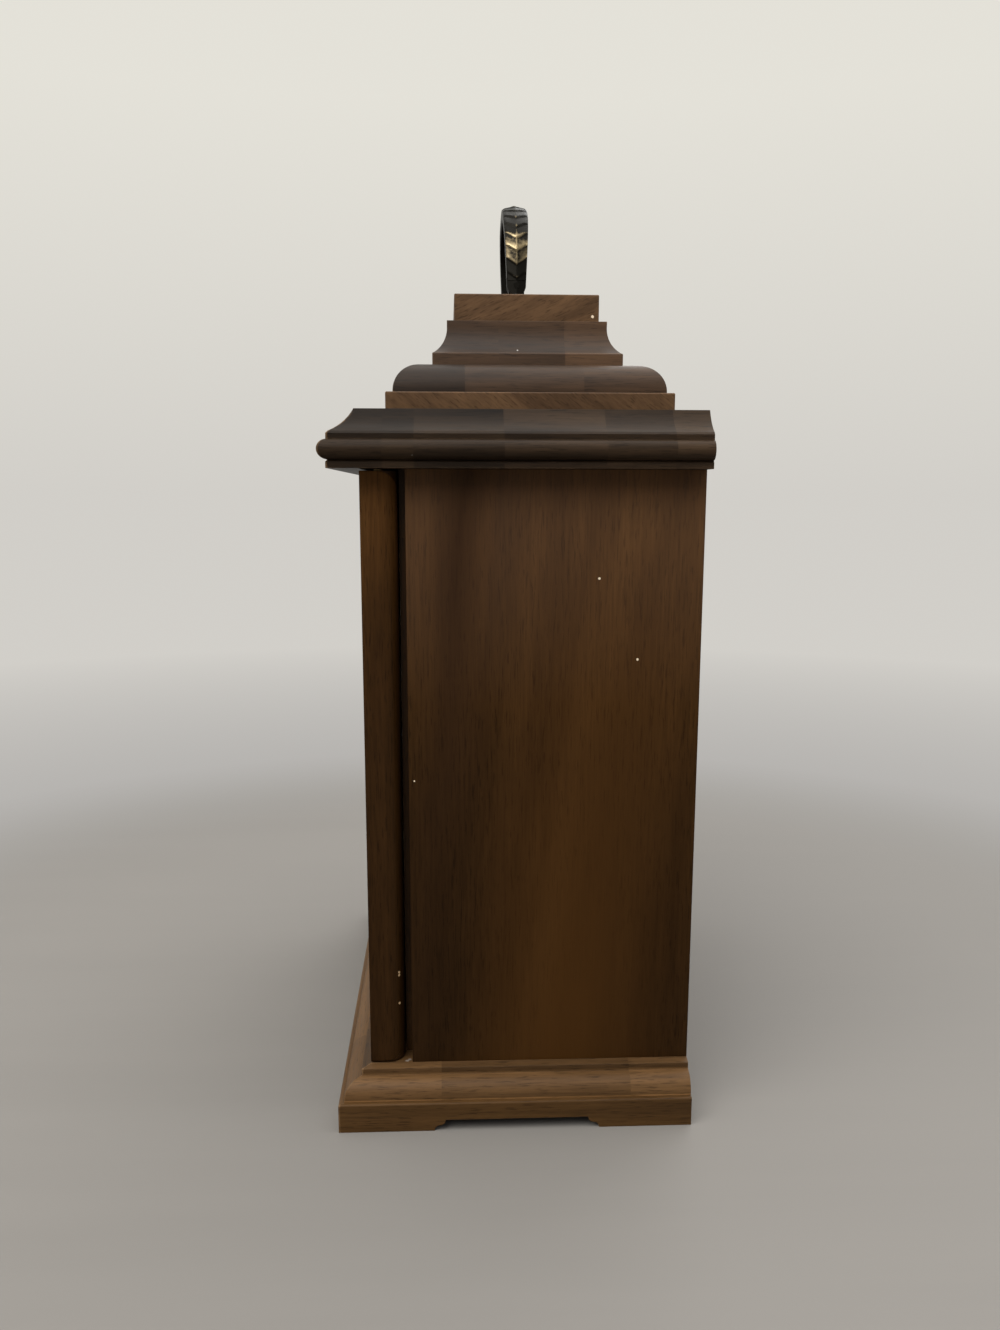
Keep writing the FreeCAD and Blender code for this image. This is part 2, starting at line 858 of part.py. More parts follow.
# Door: four lengths of one section, mitred at the corners like a picture frame.
door_low = body_foot + dims.door_clearance
door_high = body_head - dims.door_clearance
door_back = front + dims.door_thickness
rabbet_face = door_back - dims.rabbet_depth
sight = half_width - dims.door_stile
pivot_in = dims.door_thickness / 2
hinge_x = half_width - pivot_in
hinge_y = door_back - pivot_in
catch_x = -(sight - dims.door_stile / 2)
knob_x = -(half_width - dims.door_stile / 2)
knob_z = (door_low + door_high) / 2


def door_section(edge, way, rear_round):
    """The section of a door member: edge is its outer face, way points to the opening."""
    opening = edge + dims.door_stile * way
    return [
        (edge, front),
        (edge, door_back - rear_round, rear_round, -way),
        (edge + rear_round * way, door_back),
        (opening - dims.rabbet_width * way, door_back),
        (opening - dims.rabbet_width * way, rabbet_face),
        (opening, rabbet_face),
        (opening, front + dims.door_ovolo, dims.door_ovolo, -way),
        (opening - dims.door_ovolo * way, front),
    ]


def drill(body, x, y, radius, z, length, up):
    """A round hole up or down from a horizontal face at z."""
    past = dims.overrun
    start = z - past if up else z + past
    sketch = sketch_on(body, "XY", [], [(x, y, radius)], lift=start)
    pocket(body, sketch, length + past, forward=up)


def door_frame():
    """Stiles and rails. The hinged rear edge is round about the pivots, to clear the case."""
    past = dims.overrun
    stile = dims.door_stile
    hinge_edge = [
        (half_width, hinge_y, pivot_in, 1),
        (hinge_x, door_back),
        (hinge_x, door_back + past),
        (half_width + past, door_back + past),
        (half_width + past, hinge_y),
    ]
    for side, word in ((-1, "left"), (1, "right")):
        body = new_body("door_stile_" + word)
        rear = pivot_in if side > 0 else dims.edge_ease
        section = door_section(half_width * side, -side, rear)
        pad(body, sketch_on(body, "XY", [section], lift=door_low), door_high - door_low)
        edge = (half_width + past) * side
        opening = (sight - past) * side
        wastes = []
        for corner, way in ((door_low, 1), (door_high, -1)):
            wastes.append([(edge, corner - past * way), (opening, corner - past * way),
                           (opening, corner + (stile + past) * way)])
        sketch = sketch_on(body, "XZ", wastes, lift=-(front - past))
        pocket(body, sketch, dims.door_thickness + past * 2)
        if side > 0:
            for z, up in ((door_low, True), (door_high, False)):
                drill(body, hinge_x, hinge_y, dims.pivot_radius, z, dims.pivot_depth, up)
        else:
            hole = sketch_on(body, "XZ", [], [(knob_x, knob_z, dims.knob_neck)],
                             lift=-(front - past))
            pocket(body, hole, dims.knob_shank + past)
        part(body, "door_stile_" + word)
    for corner, way, word in ((door_low, 1, "bottom"), (door_high, -1, "top")):
        body = new_body("door_rail_" + word)
        section = [(c[1], c[0]) + ((c[2], -c[3]) if len(c) == 4 else ())
                   for c in door_section(corner, way, dims.edge_ease)]
        pad(body, sketch_on(body, "YZ", [section], lift=-half_width), dims.body_width)
        wastes = []
        for side in (-1, 1):
            outer = (half_width + past) * side
            wastes.append([(outer, corner - past * way), (outer, corner + (stile + past) * way),
                           ((sight - past) * side, corner + (stile + past) * way)])
        sketch = sketch_on(body, "XZ", wastes, lift=-(front - past))
        pocket(body, sketch, dims.door_thickness + past * 2)
        sketch = sketch_on(body, "XY", [hinge_edge], lift=door_high + past)
        pocket(body, sketch, door_high - door_low + past * 2)
        drill(body, hinge_x, hinge_y, dims.pivot_radius, corner, dims.pivot_depth, way > 0)
        if way > 0:
            drill(body, catch_x, hinge_y, dims.catch_radius, corner, dims.catch_length, True)
        part(body, "door_rail_" + word)


def door_glazing():
    edge = sight + dims.rabbet_width - dims.glass_clearance
    low = door_low + dims.door_stile - dims.rabbet_width + dims.glass_clearance
    high = door_high - dims.door_stile + dims.rabbet_width - dims.glass_clearance
    glass_back = rabbet_face + dims.glass_thickness
    part(box("door_glass", (-edge, edge), (rabbet_face, glass_back), (low, high)), "door_glass")
    wide = dims.rabbet_width - dims.glass_clearance
    depth = (glass_back, glass_back + dims.bead_depth)
    part(group("door_glass_beads",
               box("glass_bead_left", (-edge, -edge + wide), depth, (low, high)),
               box("glass_bead_right", (edge - wide, edge), depth, (low, high)),
               box("glass_bead_low", (-edge + wide, edge - wide), depth, (low, low + wide)),
               box("glass_bead_high", (-edge + wide, edge - wide), depth, (high - wide, high))),
         "door_glass_beads")


def knob(name, x, y, z, length, shank, turn):
    """A turned brass knob; its shank lies behind the face that it stands on."""
    neck = dims.knob_neck
    ball = dims.knob_radius
    return place(turned(name, [
        (ZERO, -shank),
        (neck, -shank),
        (neck, ZERO),
        (ball * 0.9, ZERO),
        (ball * 0.9, length * 0.1),
        (neck, length * 0.25),
        (neck, length * 0.4),
        (ball, length * 0.7, ball, 1),
        (ball * 0.5, length),
        (ZERO, length),
    ]), x, y, z, turn)


def ball_catch(name, x, y, z):
    """A barrel with a sprung ball that holds the door shut."""
    ball = dims.catch_ball
    out = dims.catch_ball_out
    half_chord = root(ball * ball - (ball - out) * (ball - out))
    return place(turned(name, [
        (ZERO, -out, ball, 1),
        (half_chord, ZERO),
        (dims.catch_radius, ZERO),
        (dims.catch_radius, dims.catch_length),
        (ZERO, dims.catch_length),
    ]), x, y, z)


def front_door():
    door_frame()
    door_glazing()
    part(knob("door_knob", knob_x, front, knob_z, dims.knob_length, dims.knob_shank,
              Rotation(Vector(1, 0, 0), 90)), "door_knob")
    part(pivot_pins("door_pivot_pins", hinge_x, hinge_y, door_low, door_high),
         "door_pivot_pins")
    part(ball_catch("door_catch", catch_x, hinge_y, door_low), "door_catch")


# Back door: a board with a sunk panel, that turns on pins between the two back rails.
back_rail_back = back - dims.back_rail_inset
back_rail_front = back_rail_back - dims.back_rail_thickness
back_opening_low = body_foot + dims.back_rail_height
back_opening_high = body_head - dims.back_rail_height
back_door_low = back_opening_low + dims.back_door_clearance
back_door_high = back_opening_high - dims.back_door_clearance
back_door_back = back - dims.back_door_inset
back_door_front = back_door_back - dims.back_door_thickness
back_edge = inner - dims.back_door_clearance
back_hinge_x = back_edge - dims.back_pivot_in
back_hinge_y = (back_door_front + back_door_back) / 2
back_knob_x = -(back_edge - dims.panel_margin / 2)


def back_door():
    body = new_body("back_door")
    bend = dims.back_round
    plan = [
        (-back_edge, back_door_front + bend, bend, 1),
        (-back_edge + bend, back_door_front),
        (back_edge - bend, back_door_front, bend, 1),
        (back_edge, back_door_front + bend),
        (back_edge, back_door_back - bend, bend, 1),
        (back_edge - bend, back_door_back),
        (-back_edge + bend, back_door_back, bend, 1),
        (-back_edge, back_door_back - bend),
    ]
    pad(body, sketch_on(body, "XY", [plan], lift=back_door_low), back_door_high - back_door_low)
    side = back_edge - dims.panel_margin
    low = back_door_low + dims.panel_margin
    high = back_door_high - dims.panel_margin
    field = [(-side, low), (side, low), (side, high), (-side, high)]
    past = dims.overrun
    sketch = sketch_on(body, "XZ", [field], lift=-(back_door_back + past))
    pocket(body, sketch, dims.panel_sink + past, forward=True)
    for z, up in ((back_door_low, True), (back_door_high, False)):
        drill(body, back_hinge_x, back_hinge_y, dims.pivot_radius, z, dims.pivot_depth, up)
    hole = sketch_on(body, "XZ", [], [(back_knob_x, knob_z, dims.knob_neck)],
                     lift=-(back_door_back + past))
    pocket(body, hole, dims.back_knob_shank + past, forward=True)
    part(body, "back_door")
    part(pivot_pins("back_door_pins", back_hinge_x, back_hinge_y, back_door_low,
                    back_door_high), "back_door_pins")
    part(knob("back_door_knob", back_knob_x, back_door_back, knob_z, dims.back_knob_length,
              dims.back_knob_shank, Rotation(Vector(1, 0, 0), -90)), "back_door_knob")


# Dial and hands. A depth is measured from the front face of the case towards the back.
ALONG_DEPTH = Rotation(Vector(1, 0, 0), -90)
dial_z = (body_foot + body_head) / 2
frame_depth = frame_back - front
dial_half_width = inner - dims.front_stile_width
dial_half_height = dims.body_height / 2 - dims.front_rail_height
dial_back_depth = frame_depth + dims.dial_plate_thickness
chapter_outer = lesser(dial_half_width, dial_half_height) - dims.chapter_margin
chapter_inner = chapter_outer - dims.chapter_width
plate_front_depth = dial_back_depth + dims.motion_space
plate_inner_depth = plate_front_depth + dims.plate_thickness
rear_plate_depth = plate_inner_depth + dims.plate_distance
rear_face_depth = rear_plate_depth + dims.plate_thickness
hour_hand_back = frame_depth - dims.chapter_thickness - dims.hand_space
hour_hand_front = hour_hand_back - dims.hand_thickness
minute_hand_back = hour_hand_front - dims.hand_space
minute_hand_front = minute_hand_back - dims.hand_thickness
nut_front = minute_hand_front - dims.nut_length


def along_depth(item, x=ZERO, z=ZERO):
    """Lays a piece built along Z into the movement: its Z is the depth at (x, z)."""
    return place(item, x, front, dial_z + z, ALONG_DEPTH)


def arbor(name, corners, x=ZERO, z=ZERO):
    """A turned piece of the movement from a profile (radius, depth)."""
    return along_depth(turned(name, corners), x, z)


def dial_face_body(name, outlines, rings, near, far):
    """A flat piece in the plane of the dial between two depths, drawn about its centre."""
    body = new_body(name)
    pad(body, sketch_on(body, "XZ", outlines, rings, lift=-far), far - near)
    return place(body, ZERO, front, dial_z)


def dial():
    half_x = dial_half_width + dims.dial_lap
    half_z = dial_half_height + dims.dial_lap
    edges = [(-half_x, -half_z), (half_x, -half_z), (half_x, half_z), (-half_x, half_z)]
    holes = [(ZERO, ZERO, dims.dial_hole), (ZERO, winder_z, dims.winding_hole)]
    plate = dial_face_body("dial_sheet", [edges], holes, frame_depth, dial_back_depth)
    feet = []
    for x in (-dims.foot_across, dims.foot_across):
        for z in (dims.foot_up, -dims.foot_down):
            name = "dial_foot_%d" % len(feet)
            feet.append(rod(name, dims.dial_foot_radius, dims.motion_space, x,
                            front + dial_back_depth, dial_z + z, ALONG_DEPTH))
    part(fuse("dial_plate", plate, *feet), "dial_plate")
    ring_front = frame_depth - dims.chapter_thickness
    part(arbor("chapter_ring", [
        (chapter_inner, ring_front),
        (chapter_outer, ring_front),
        (chapter_outer, frame_depth),
        (chapter_inner, frame_depth),
    ]), "chapter_ring")
    x = dial_half_width - dims.spandrel_margin
    z = dial_half_height - dims.spandrel_margin
    tip = dims.spandrel_tip
    start_x = x * SPANDREL_START_SHARE
    start_z = z * SPANDREL_START_SHARE
    bend = chapter_outer + dims.spandrel_space
    pieces = []
    for across in (-1, 1):
        for up in (-1, 1):
            corners = [
                (x * across, z * up),
                (start_x * across, z * up),
                (start_x * across, (z - tip) * up, bend, -across * up),
                ((x - tip) * across, start_z * up),
                (x * across, start_z * up),
            ]
            pieces.append(dial_face_body("spandrel_%d" % len(pieces), [corners], [],
                                         frame_depth - dims.spandrel_thickness, frame_depth))
    part(group("spandrels", *pieces), "spandrels")


def hand(name, length, bore, near, far, turn):
    """A spade hand that points up before it is turned to the hour."""
    hub = dims.hand_hub
    arm = dims.hand_arm
    wide = dims.spade_width
    shoulder = root(hub * hub - arm * arm)
    spade = length - dims.spade_length
    corners = [
        (arm, shoulder),
        (arm * SPADE_NECK_SHARE, spade),
        (wide, spade + dims.spade_length * SPADE_BELLY_SHARE),
        (ZERO, length),
        (-wide, spade + dims.spade_length * SPADE_BELLY_SHARE),
        (-arm * SPADE_NECK_SHARE, spade),
        (-arm, shoulder, hub, 1),
        (-hub, ZERO, hub, 1),
        (ZERO, -hub, hub, 1),
        (hub, ZERO, hub, 1),
    ]
    body = new_body(name)
    pad(body, sketch_on(body, "XZ", [corners], [(ZERO, ZERO, bore)]), far - near)
    return place(body, ZERO, front + far, dial_z, Rotation(Vector(0, 1, 0), turn))


def hands():
    part(hand("hour_hand", chapter_inner - dims.hour_hand_gap, dims.hour_pipe_radius,
              hour_hand_front, hour_hand_back, HOUR_HAND_ANGLE), "hour_hand")
    part(hand("minute_hand", chapter_inner + dims.chapter_width / 2, dims.cannon_radius,
              minute_hand_front, minute_hand_back, MINUTE_HAND_ANGLE), "minute_hand")
    part(arbor("hand_nut", [
        (dims.hand_post_radius, nut_front),
        (dims.nut_radius * NUT_FACE_SHARE, nut_front),
        (dims.nut_radius, nut_front + dims.nut_length * NUT_BEVEL_SHARE),
        (dims.nut_radius, minute_hand_front),
        (dims.hand_post_radius, minute_hand_front),
    ]), "hand_nut")


# Wheels. Angles are taken about the depth axis of the movement, in radians.

def centre_distance(first, second, module):
    return module * ((first + second) / 2) + dims.mesh_clearance


def meshing_turn(turn, teeth, other_teeth, way):
    """The turn of a wheel that meets another one, standing in the direction way from it."""
    return way + math.pi - (turn - way) * teeth / other_teeth - math.pi / other_teeth


def way_to(here, there):
    """Direction from one arbor (x, z) to another about the depth axis."""
    return math.atan2(here[1].number - there[1].number, there[0].number - here[0].number)


def blank_outline(teeth, module, shares, turn, root_share=ROOT_SHARE, tip_share=TIP_SHARE):
    """Straight-sided teeth: four points for each, on the root and tip circles."""
    pitch_radius = module * teeth / 2
    tip = pitch_radius + module * shares[0]
    foot = pitch_radius - module * shares[1]
    pitch = 2 * math.pi / teeth
    points = []
    for tooth in range(teeth):
        middle = turn + tooth * pitch
        for radius, share in ((foot, -root_share), (tip, -tip_share), (tip, tip_share),
                              (foot, root_share)):
            angle = middle + share * pitch / 2
            points.append(Vector(radius * math.cos(angle), radius * math.sin(angle), 0))
    return points + points[:1]


def wheel(name, at, teeth, module, near, thick, shares, turn, bore=None, spokes=False):
    """A toothed wheel at an arbor's place, crossed out between rim and collet if asked."""
    module = module.number
    face = Part.Face(Part.makePolygon(blank_outline(teeth, module, shares, turn)))
    solid = face.extrude(Vector(0, 0, thick.number))
    if spokes:
        rim = module * (teeth / 2 - shares[1]) - dims.rim_width.number
        hub = dims.collet_radius.number
        window = Part.makeCylinder(rim, thick.number).cut(Part.makeCylinder(hub, thick.number))
        width = dims.spoke_width.number
        for spoke in range(WHEEL_SPOKES // 2):
            bar = Part.makeBox(rim * 2, width, thick.number, Vector(-rim, -width / 2, 0))
            bar.rotate(Vector(0, 0, 0), Vector(0, 0, 1), 360 * spoke / WHEEL_SPOKES)
            window = window.cut(bar)
        solid = solid.cut(window)
    if bore is not None:
        solid = solid.cut(Part.makeCylinder(bore.number, thick.number))
    item = doc.addObject("Part::Feature", name)
    item.Shape = solid
    item.Placement = Placement(Vector(at[0].number, (front + near).number,
                                      (dial_z + at[1]).number), ALONG_DEPTH)
    return item


def pivoted_arbor(name, at, radius):
    """An arbor between the plates, with a thin pivot in each."""
    gap = dims.shoulder_gap
    tip = dims.tip_radius
    return arbor(name, [
        (ZERO, plate_front_depth),
        (tip, plate_front_depth),
        (tip, plate_inner_depth + gap),
        (radius, plate_inner_depth + gap),
        (radius, rear_plate_depth - gap),
        (tip, rear_plate_depth - gap),
        (tip, rear_face_depth),
        (ZERO, rear_face_depth),
    ], at[0], at[1])


# Places of the arbors from the dial's centre, and depths of the wheels on them.
barrel_distance = centre_distance(BARREL_TEETH, PINION_LEAVES, dims.barrel_module)
third_distance = centre_distance(CENTRE_TEETH, PINION_LEAVES, dims.centre_module)
escape_distance = centre_distance(THIRD_TEETH, PINION_LEAVES, dims.third_module)
motion_distance = centre_distance(CANNON_LEAVES, MINUTE_TEETH, dims.motion_module)
winder_z = -barrel_distance
third_z = root(third_distance * third_distance - dims.third_across * dims.third_across)
escape_z = third_z + root(escape_distance * escape_distance
                          - dims.third_across * dims.third_across)
anchor_z = escape_z + dims.anchor_rise
CENTRE_AT = (ZERO, ZERO)
WINDER_AT = (ZERO, winder_z)
THIRD_AT = (dims.third_across, third_z)
ESCAPE_AT = (ZERO, escape_z)
ANCHOR_AT = (ZERO, anchor_z)
MINUTE_AT = (-motion_distance, ZERO)
leaf = dims.leaf_length
barrel_wheel_depth = plate_inner_depth + dims.barrel_space
drum_depth = barrel_wheel_depth + dims.barrel_wheel_thickness
drum_end = drum_depth + dims.drum_length
centre_pinion_depth = barrel_wheel_depth - (leaf - dims.barrel_wheel_thickness) / 2
centre_wheel_depth = drum_end + dims.wheel_gap
third_pinion_depth = centre_wheel_depth - (leaf - dims.wheel_thickness) / 2
third_wheel_depth = third_pinion_depth - dims.wheel_gap - dims.wheel_thickness
escape_pinion_depth = third_wheel_depth - (leaf - dims.wheel_thickness) / 2
escape_wheel_depth = escape_pinion_depth - dims.wheel_gap - dims.wheel_thickness
cannon_teeth_depth = plate_front_depth - dims.cannon_gap - leaf
minute_wheel_depth = cannon_teeth_depth + (leaf - dims.wheel_thickness) / 2
minute_leaf_depth = minute_wheel_depth - leaf
hour_wheel_depth = minute_leaf_depth + dims.hour_wheel_gap
cannon_back = cannon_teeth_depth + leaf
stud_front = minute_leaf_depth - dims.cannon_gap


def plates():
    half = dims.plate_half_width
    high = dims.plate_top
    low = -dims.plate_bottom
    corner = dims.plate_corner
    edges = [
        (-half, low), (half, low), (half, high - corner), (half - corner, high),
        (corner - half, high), (-half, high - corner),
    ]
    fit = dims.running_fit
    tips = [(at[0], at[1], dims.tip_radius + fit) for at in (THIRD_AT, ESCAPE_AT)]
    posts = [(x, z, dims.pillar_end) for x in (-dims.pillar_across, dims.pillar_across)
             for z in (dims.pillar_up, -dims.pillar_down)]
    front_holes = tips + posts + [
        (ZERO, ZERO, dims.centre_radius + fit),
        (ZERO, winder_z, dims.winder_radius + fit),
        (ZERO, anchor_z, dims.tip_radius + fit),
    ]
    sheet_metal = dial_face_body("front_plate_sheet", [edges], front_holes, plate_front_depth,
                                 plate_inner_depth)
    stud = rod("minute_stud", dims.stud_radius, plate_front_depth - stud_front,
               MINUTE_AT[0], front + stud_front, dial_z + MINUTE_AT[1], ALONG_DEPTH)
    part(fuse("movement_front_plate", sheet_metal, stud), "movement_front_plate")
    rear_holes = tips + posts + [
        (ZERO, ZERO, dims.tip_radius + fit),
        (ZERO, winder_z, dims.winder_end + fit),
        (ZERO, anchor_z, dims.arbor_radius + fit),
    ]
    part(dial_face_body("movement_back_plate", [edges], rear_holes, rear_plate_depth,
                        rear_face_depth), "movement_back_plate")
    collar = dims.pillar_collar_length
    middle = (plate_inner_depth + rear_plate_depth) / 2
    pillars = []
    for x, z, radius in posts:
        profile = [
            (ZERO, plate_front_depth),
            (radius, plate_front_depth),
            (radius, plate_inner_depth),
            (dims.pillar_collar, plate_inner_depth),
            (dims.pillar_collar, plate_inner_depth + collar),
            (dims.pillar_radius * PILLAR_WAIST_SHARE, plate_inner_depth + collar),
            (dims.pillar_radius, middle),
            (dims.pillar_radius * PILLAR_WAIST_SHARE, rear_plate_depth - collar),
            (dims.pillar_collar, rear_plate_depth - collar),
            (dims.pillar_collar, rear_plate_depth),
            (radius, rear_plate_depth),
            (radius, rear_face_depth),
            (ZERO, rear_face_depth),
        ]
        pillars.append(arbor("pillar_%d" % len(pillars), profile, x, z))
    part(group("movement_pillars", *pillars), "movement_pillars")


def barrel_and_winder():
    turn = 0.0
    bore = dims.winder_radius + dims.running_fit
    drum = arbor("barrel_drum", [
        (bore, barrel_wheel_depth),
        (dims.drum_radius, barrel_wheel_depth),
        (dims.drum_radius, drum_end),
        (bore, drum_end),
    ], *WINDER_AT)
    teeth = wheel("barrel_teeth", WINDER_AT, BARREL_TEETH, dims.barrel_module,
                  barrel_wheel_depth, dims.barrel_wheel_thickness, WHEEL_SHARES, turn, bore)
    part(fuse("mainspring_barrel", drum, teeth), "mainspring_barrel")
    winder_front = frame_depth + dims.winder_in_dial
    round_front = plate_front_depth - dims.cannon_gap
    gap = dims.shoulder_gap
    shaft = arbor("winder_shaft", [
        (ZERO, round_front),
        (dims.winder_radius, round_front),
        (dims.winder_radius, rear_plate_depth - gap),
        (dims.winder_end, rear_plate_depth - gap),
        (dims.winder_end, rear_face_depth),
        (ZERO, rear_face_depth),
    ], *WINDER_AT)
    half = dims.winder_square / 2
    square = box("winder_square_end", (-half, half), (front + winder_front, front + round_front),
                 (dial_z + winder_z - half, dial_z + winder_z + half))
    part(fuse("winding_arbor", shaft, square), "winding_arbor")
    return turn


def going_train(barrel_turn):
    """Centre, third and escape arbors, each pinion meeting the wheel before it."""
    gap = dims.shoulder_gap
    spin = arbor("centre_shaft", [
        (ZERO, nut_front),
        (dims.hand_post_radius, nut_front),
        (dims.hand_post_radius, cannon_back + gap),
        (dims.centre_radius, cannon_back + gap),
        (dims.centre_radius, rear_plate_depth - gap),
        (dims.tip_radius, rear_plate_depth - gap),
        (dims.tip_radius, rear_face_depth),
        (ZERO, rear_face_depth),
    ])
    pinion_turn = meshing_turn(barrel_turn, BARREL_TEETH, PINION_LEAVES,
                               way_to(WINDER_AT, CENTRE_AT))
    pinion = wheel("centre_pinion", CENTRE_AT, PINION_LEAVES, dims.barrel_module,
                   centre_pinion_depth, leaf, LEAF_SHARES, pinion_turn)
    rim = wheel("centre_rim", CENTRE_AT, CENTRE_TEETH, dims.centre_module, centre_wheel_depth,
                dims.wheel_thickness, WHEEL_SHARES, 0.0, spokes=True)
    part(fuse("centre_wheel", spin, pinion, rim), "centre_wheel")
    before, before_teeth = CENTRE_AT, CENTRE_TEETH
    for word, at, teeth, module, pinion_module, leaf_depth, wheel_depth, crossed in (
            ("third", THIRD_AT, THIRD_TEETH, dims.third_module, dims.centre_module,
             third_pinion_depth, third_wheel_depth, True),
            ("escape", ESCAPE_AT, ESCAPE_TEETH, dims.escape_radius * 2 / ESCAPE_TEETH,
             dims.third_module, escape_pinion_depth, escape_wheel_depth, False)):
        shaft = pivoted_arbor(word + "_shaft", at, dims.arbor_radius)
        turn = meshing_turn(0.0, before_teeth, PINION_LEAVES, way_to(before, at))
        pinion = wheel(word + "_pinion", at, PINION_LEAVES, pinion_module, leaf_depth, leaf,
                       LEAF_SHARES, turn)
        shares = WHEEL_SHARES if crossed else ESCAPE_SHARES
        rim = wheel(word + "_rim", at, teeth, module, wheel_depth, dims.wheel_thickness, shares,
                    0.0, spokes=crossed)
        part(fuse(word + "_wheel", shaft, pinion, rim), word + "_wheel")
        before, before_teeth = at, teeth


def motion_work():
    """Cannon pinion, minute wheel and hour wheel behind the dial."""
    pipe = arbor("cannon_pipe", [
        (dims.hand_post_radius, minute_hand_front),
        (dims.cannon_radius, minute_hand_front),
        (dims.cannon_radius, cannon_back),
        (dims.hand_post_radius, cannon_back),
    ])
    teeth = wheel("cannon_teeth", CENTRE_AT, CANNON_LEAVES, dims.motion_module,
                  cannon_teeth_depth, leaf, LEAF_SHARES, 0.0, dims.hand_post_radius)
    part(fuse("cannon_pinion", pipe, teeth), "cannon_pinion")
    way = way_to(CENTRE_AT, MINUTE_AT)
    turn = meshing_turn(0.0, CANNON_LEAVES, MINUTE_TEETH, way)
    bore = dims.stud_radius + dims.running_fit
    rim = wheel("minute_rim", MINUTE_AT, MINUTE_TEETH, dims.motion_module, minute_wheel_depth,
                dims.wheel_thickness, WHEEL_SHARES, turn, bore)
    leaves = wheel("minute_leaves", MINUTE_AT, PINION_LEAVES, dims.hour_module,
                   minute_leaf_depth, leaf, LEAF_SHARES, 0.0, bore)
    part(fuse("minute_wheel", rim, leaves), "minute_wheel")
    turn = meshing_turn(0.0, PINION_LEAVES, HOUR_TEETH, way_to(MINUTE_AT, CENTRE_AT))
    bore = dims.cannon_radius + dims.running_fit
    rim = wheel("hour_rim", CENTRE_AT, HOUR_TEETH, dims.hour_module, hour_wheel_depth,
                dims.wheel_thickness, WHEEL_SHARES, turn, bore)
    pipe = arbor("hour_pipe", [
        (bore, hour_hand_front),
        (dims.hour_pipe_radius, hour_hand_front),
        (dims.hour_pipe_radius, hour_wheel_depth),
        (bore, hour_wheel_depth),
    ])
    part(fuse("hour_wheel", rim, pipe), "hour_wheel")


def anchor():
    """Anchor over the escape wheel, its arbor and the crutch behind the back plate."""
    thick = dims.anchor_thickness
    level = escape_wheel_depth + dims.wheel_thickness / 2 - thick / 2
    bend = dims.escape_radius + dims.anchor_clearance
    outer = bend + dims.anchor_width
    rise = dims.anchor_rise
    side = ANCHOR_SPREAD_SHARE
    height = math.sqrt(1 - side * side)
    body = new_body("anchor_bow")
    bow = [
        (bend * side, bend * height - rise, bend, 1),
        (-bend * side, bend * height - rise),
        (-outer * side, outer * height - rise, outer, -1),
        (outer * side, outer * height - rise),
    ]
    pad(body, sketch_on(body, "XZ", [bow], lift=-(level + thick)), thick)
    place(body, ZERO, front, dial_z + anchor_z)
    hub = arbor("anchor_hub", [
        (ZERO, level), (dims.anchor_width, level), (dims.anchor_width, level + thick),
        (ZERO, level + thick),
    ], *ANCHOR_AT)
    gap = dims.shoulder_gap
    tip = dims.tip_radius
    crutch_near = rear_face_depth + dims.crutch_gap
    crutch_far = crutch_near + dims.crutch_thickness
    shaft = arbor("anchor_shaft", [
        (ZERO, plate_front_depth),
        (tip, plate_front_depth),
        (tip, plate_inner_depth + gap),
        (dims.arbor_radius, plate_inner_depth + gap),
        (dims.arbor_radius, crutch_far),
        (tip, crutch_far),
        (tip, cock_near + dims.cock_thickness),
        (ZERO, cock_near + dims.cock_thickness),
    ], *ANCHOR_AT)
    half = dims.crutch_width / 2
    arm = box("crutch_arm", (-half, half), (front + crutch_near, front + crutch_far),
              (dial_z + anchor_z - dims.crutch_length, dial_z + anchor_z))
    pin = rod("crutch_pin", tip, rod_depth + dims.rod_thickness + gap - crutch_near, ZERO,
              front + crutch_near, dial_z + anchor_z - dims.crutch_length + half, ALONG_DEPTH)
    part(fuse("anchor", body, hub, shaft, arm, pin), "anchor")


# The back cock carries the anchor's rear pivot, and the stud that the pendulum hangs on.
cock_near = rear_face_depth + dims.crutch_gap + dims.crutch_thickness + dims.cock_gap
cock_far = cock_near + dims.cock_thickness
eye_depth = cock_far + dims.shoulder_gap
rod_depth = eye_depth + (dims.eye_thickness - dims.rod_thickness) / 2
pendulum_foot = dial_z + anchor_z - body_foot - dims.pendulum_clearance
pendulum_length = pendulum_foot - dims.rating_nut_length - dims.bob_radius


def back_cock():
    half = dims.cock_half_width
    low, high = anchor_z - dims.cock_height / 2, anchor_z + dims.cock_height / 2
    edges = [(-half, low), (half, low), (half, high), (-half, high)]
    bridge = dial_face_body("cock_bridge", [edges],
                            [(ZERO, anchor_z, dims.tip_radius + dims.running_fit)],
                            cock_near, cock_far)
    feet = []
    for side in (-1, 1):
        xs = (half * side, (half - dims.cock_foot) * side)
        feet.append(box("cock_foot_%d" % len(feet), (xs[0], xs[1]) if side < 0 else (xs[1], xs[0]),
                        (front + rear_face_depth, front + cock_near),
                        (dial_z + low, dial_z + high)))
    gap = dims.shoulder_gap
    stud = arbor("cock_stud", [
        (ZERO, cock_far),
        (dims.pendulum_stud, cock_far),
        (dims.pendulum_stud, eye_depth + dims.eye_thickness + gap),
        (ZERO, eye_depth + dims.eye_thickness + gap),
    ], *ANCHOR_AT)
    part(fuse("back_cock", bridge, stud, *feet), "back_cock")


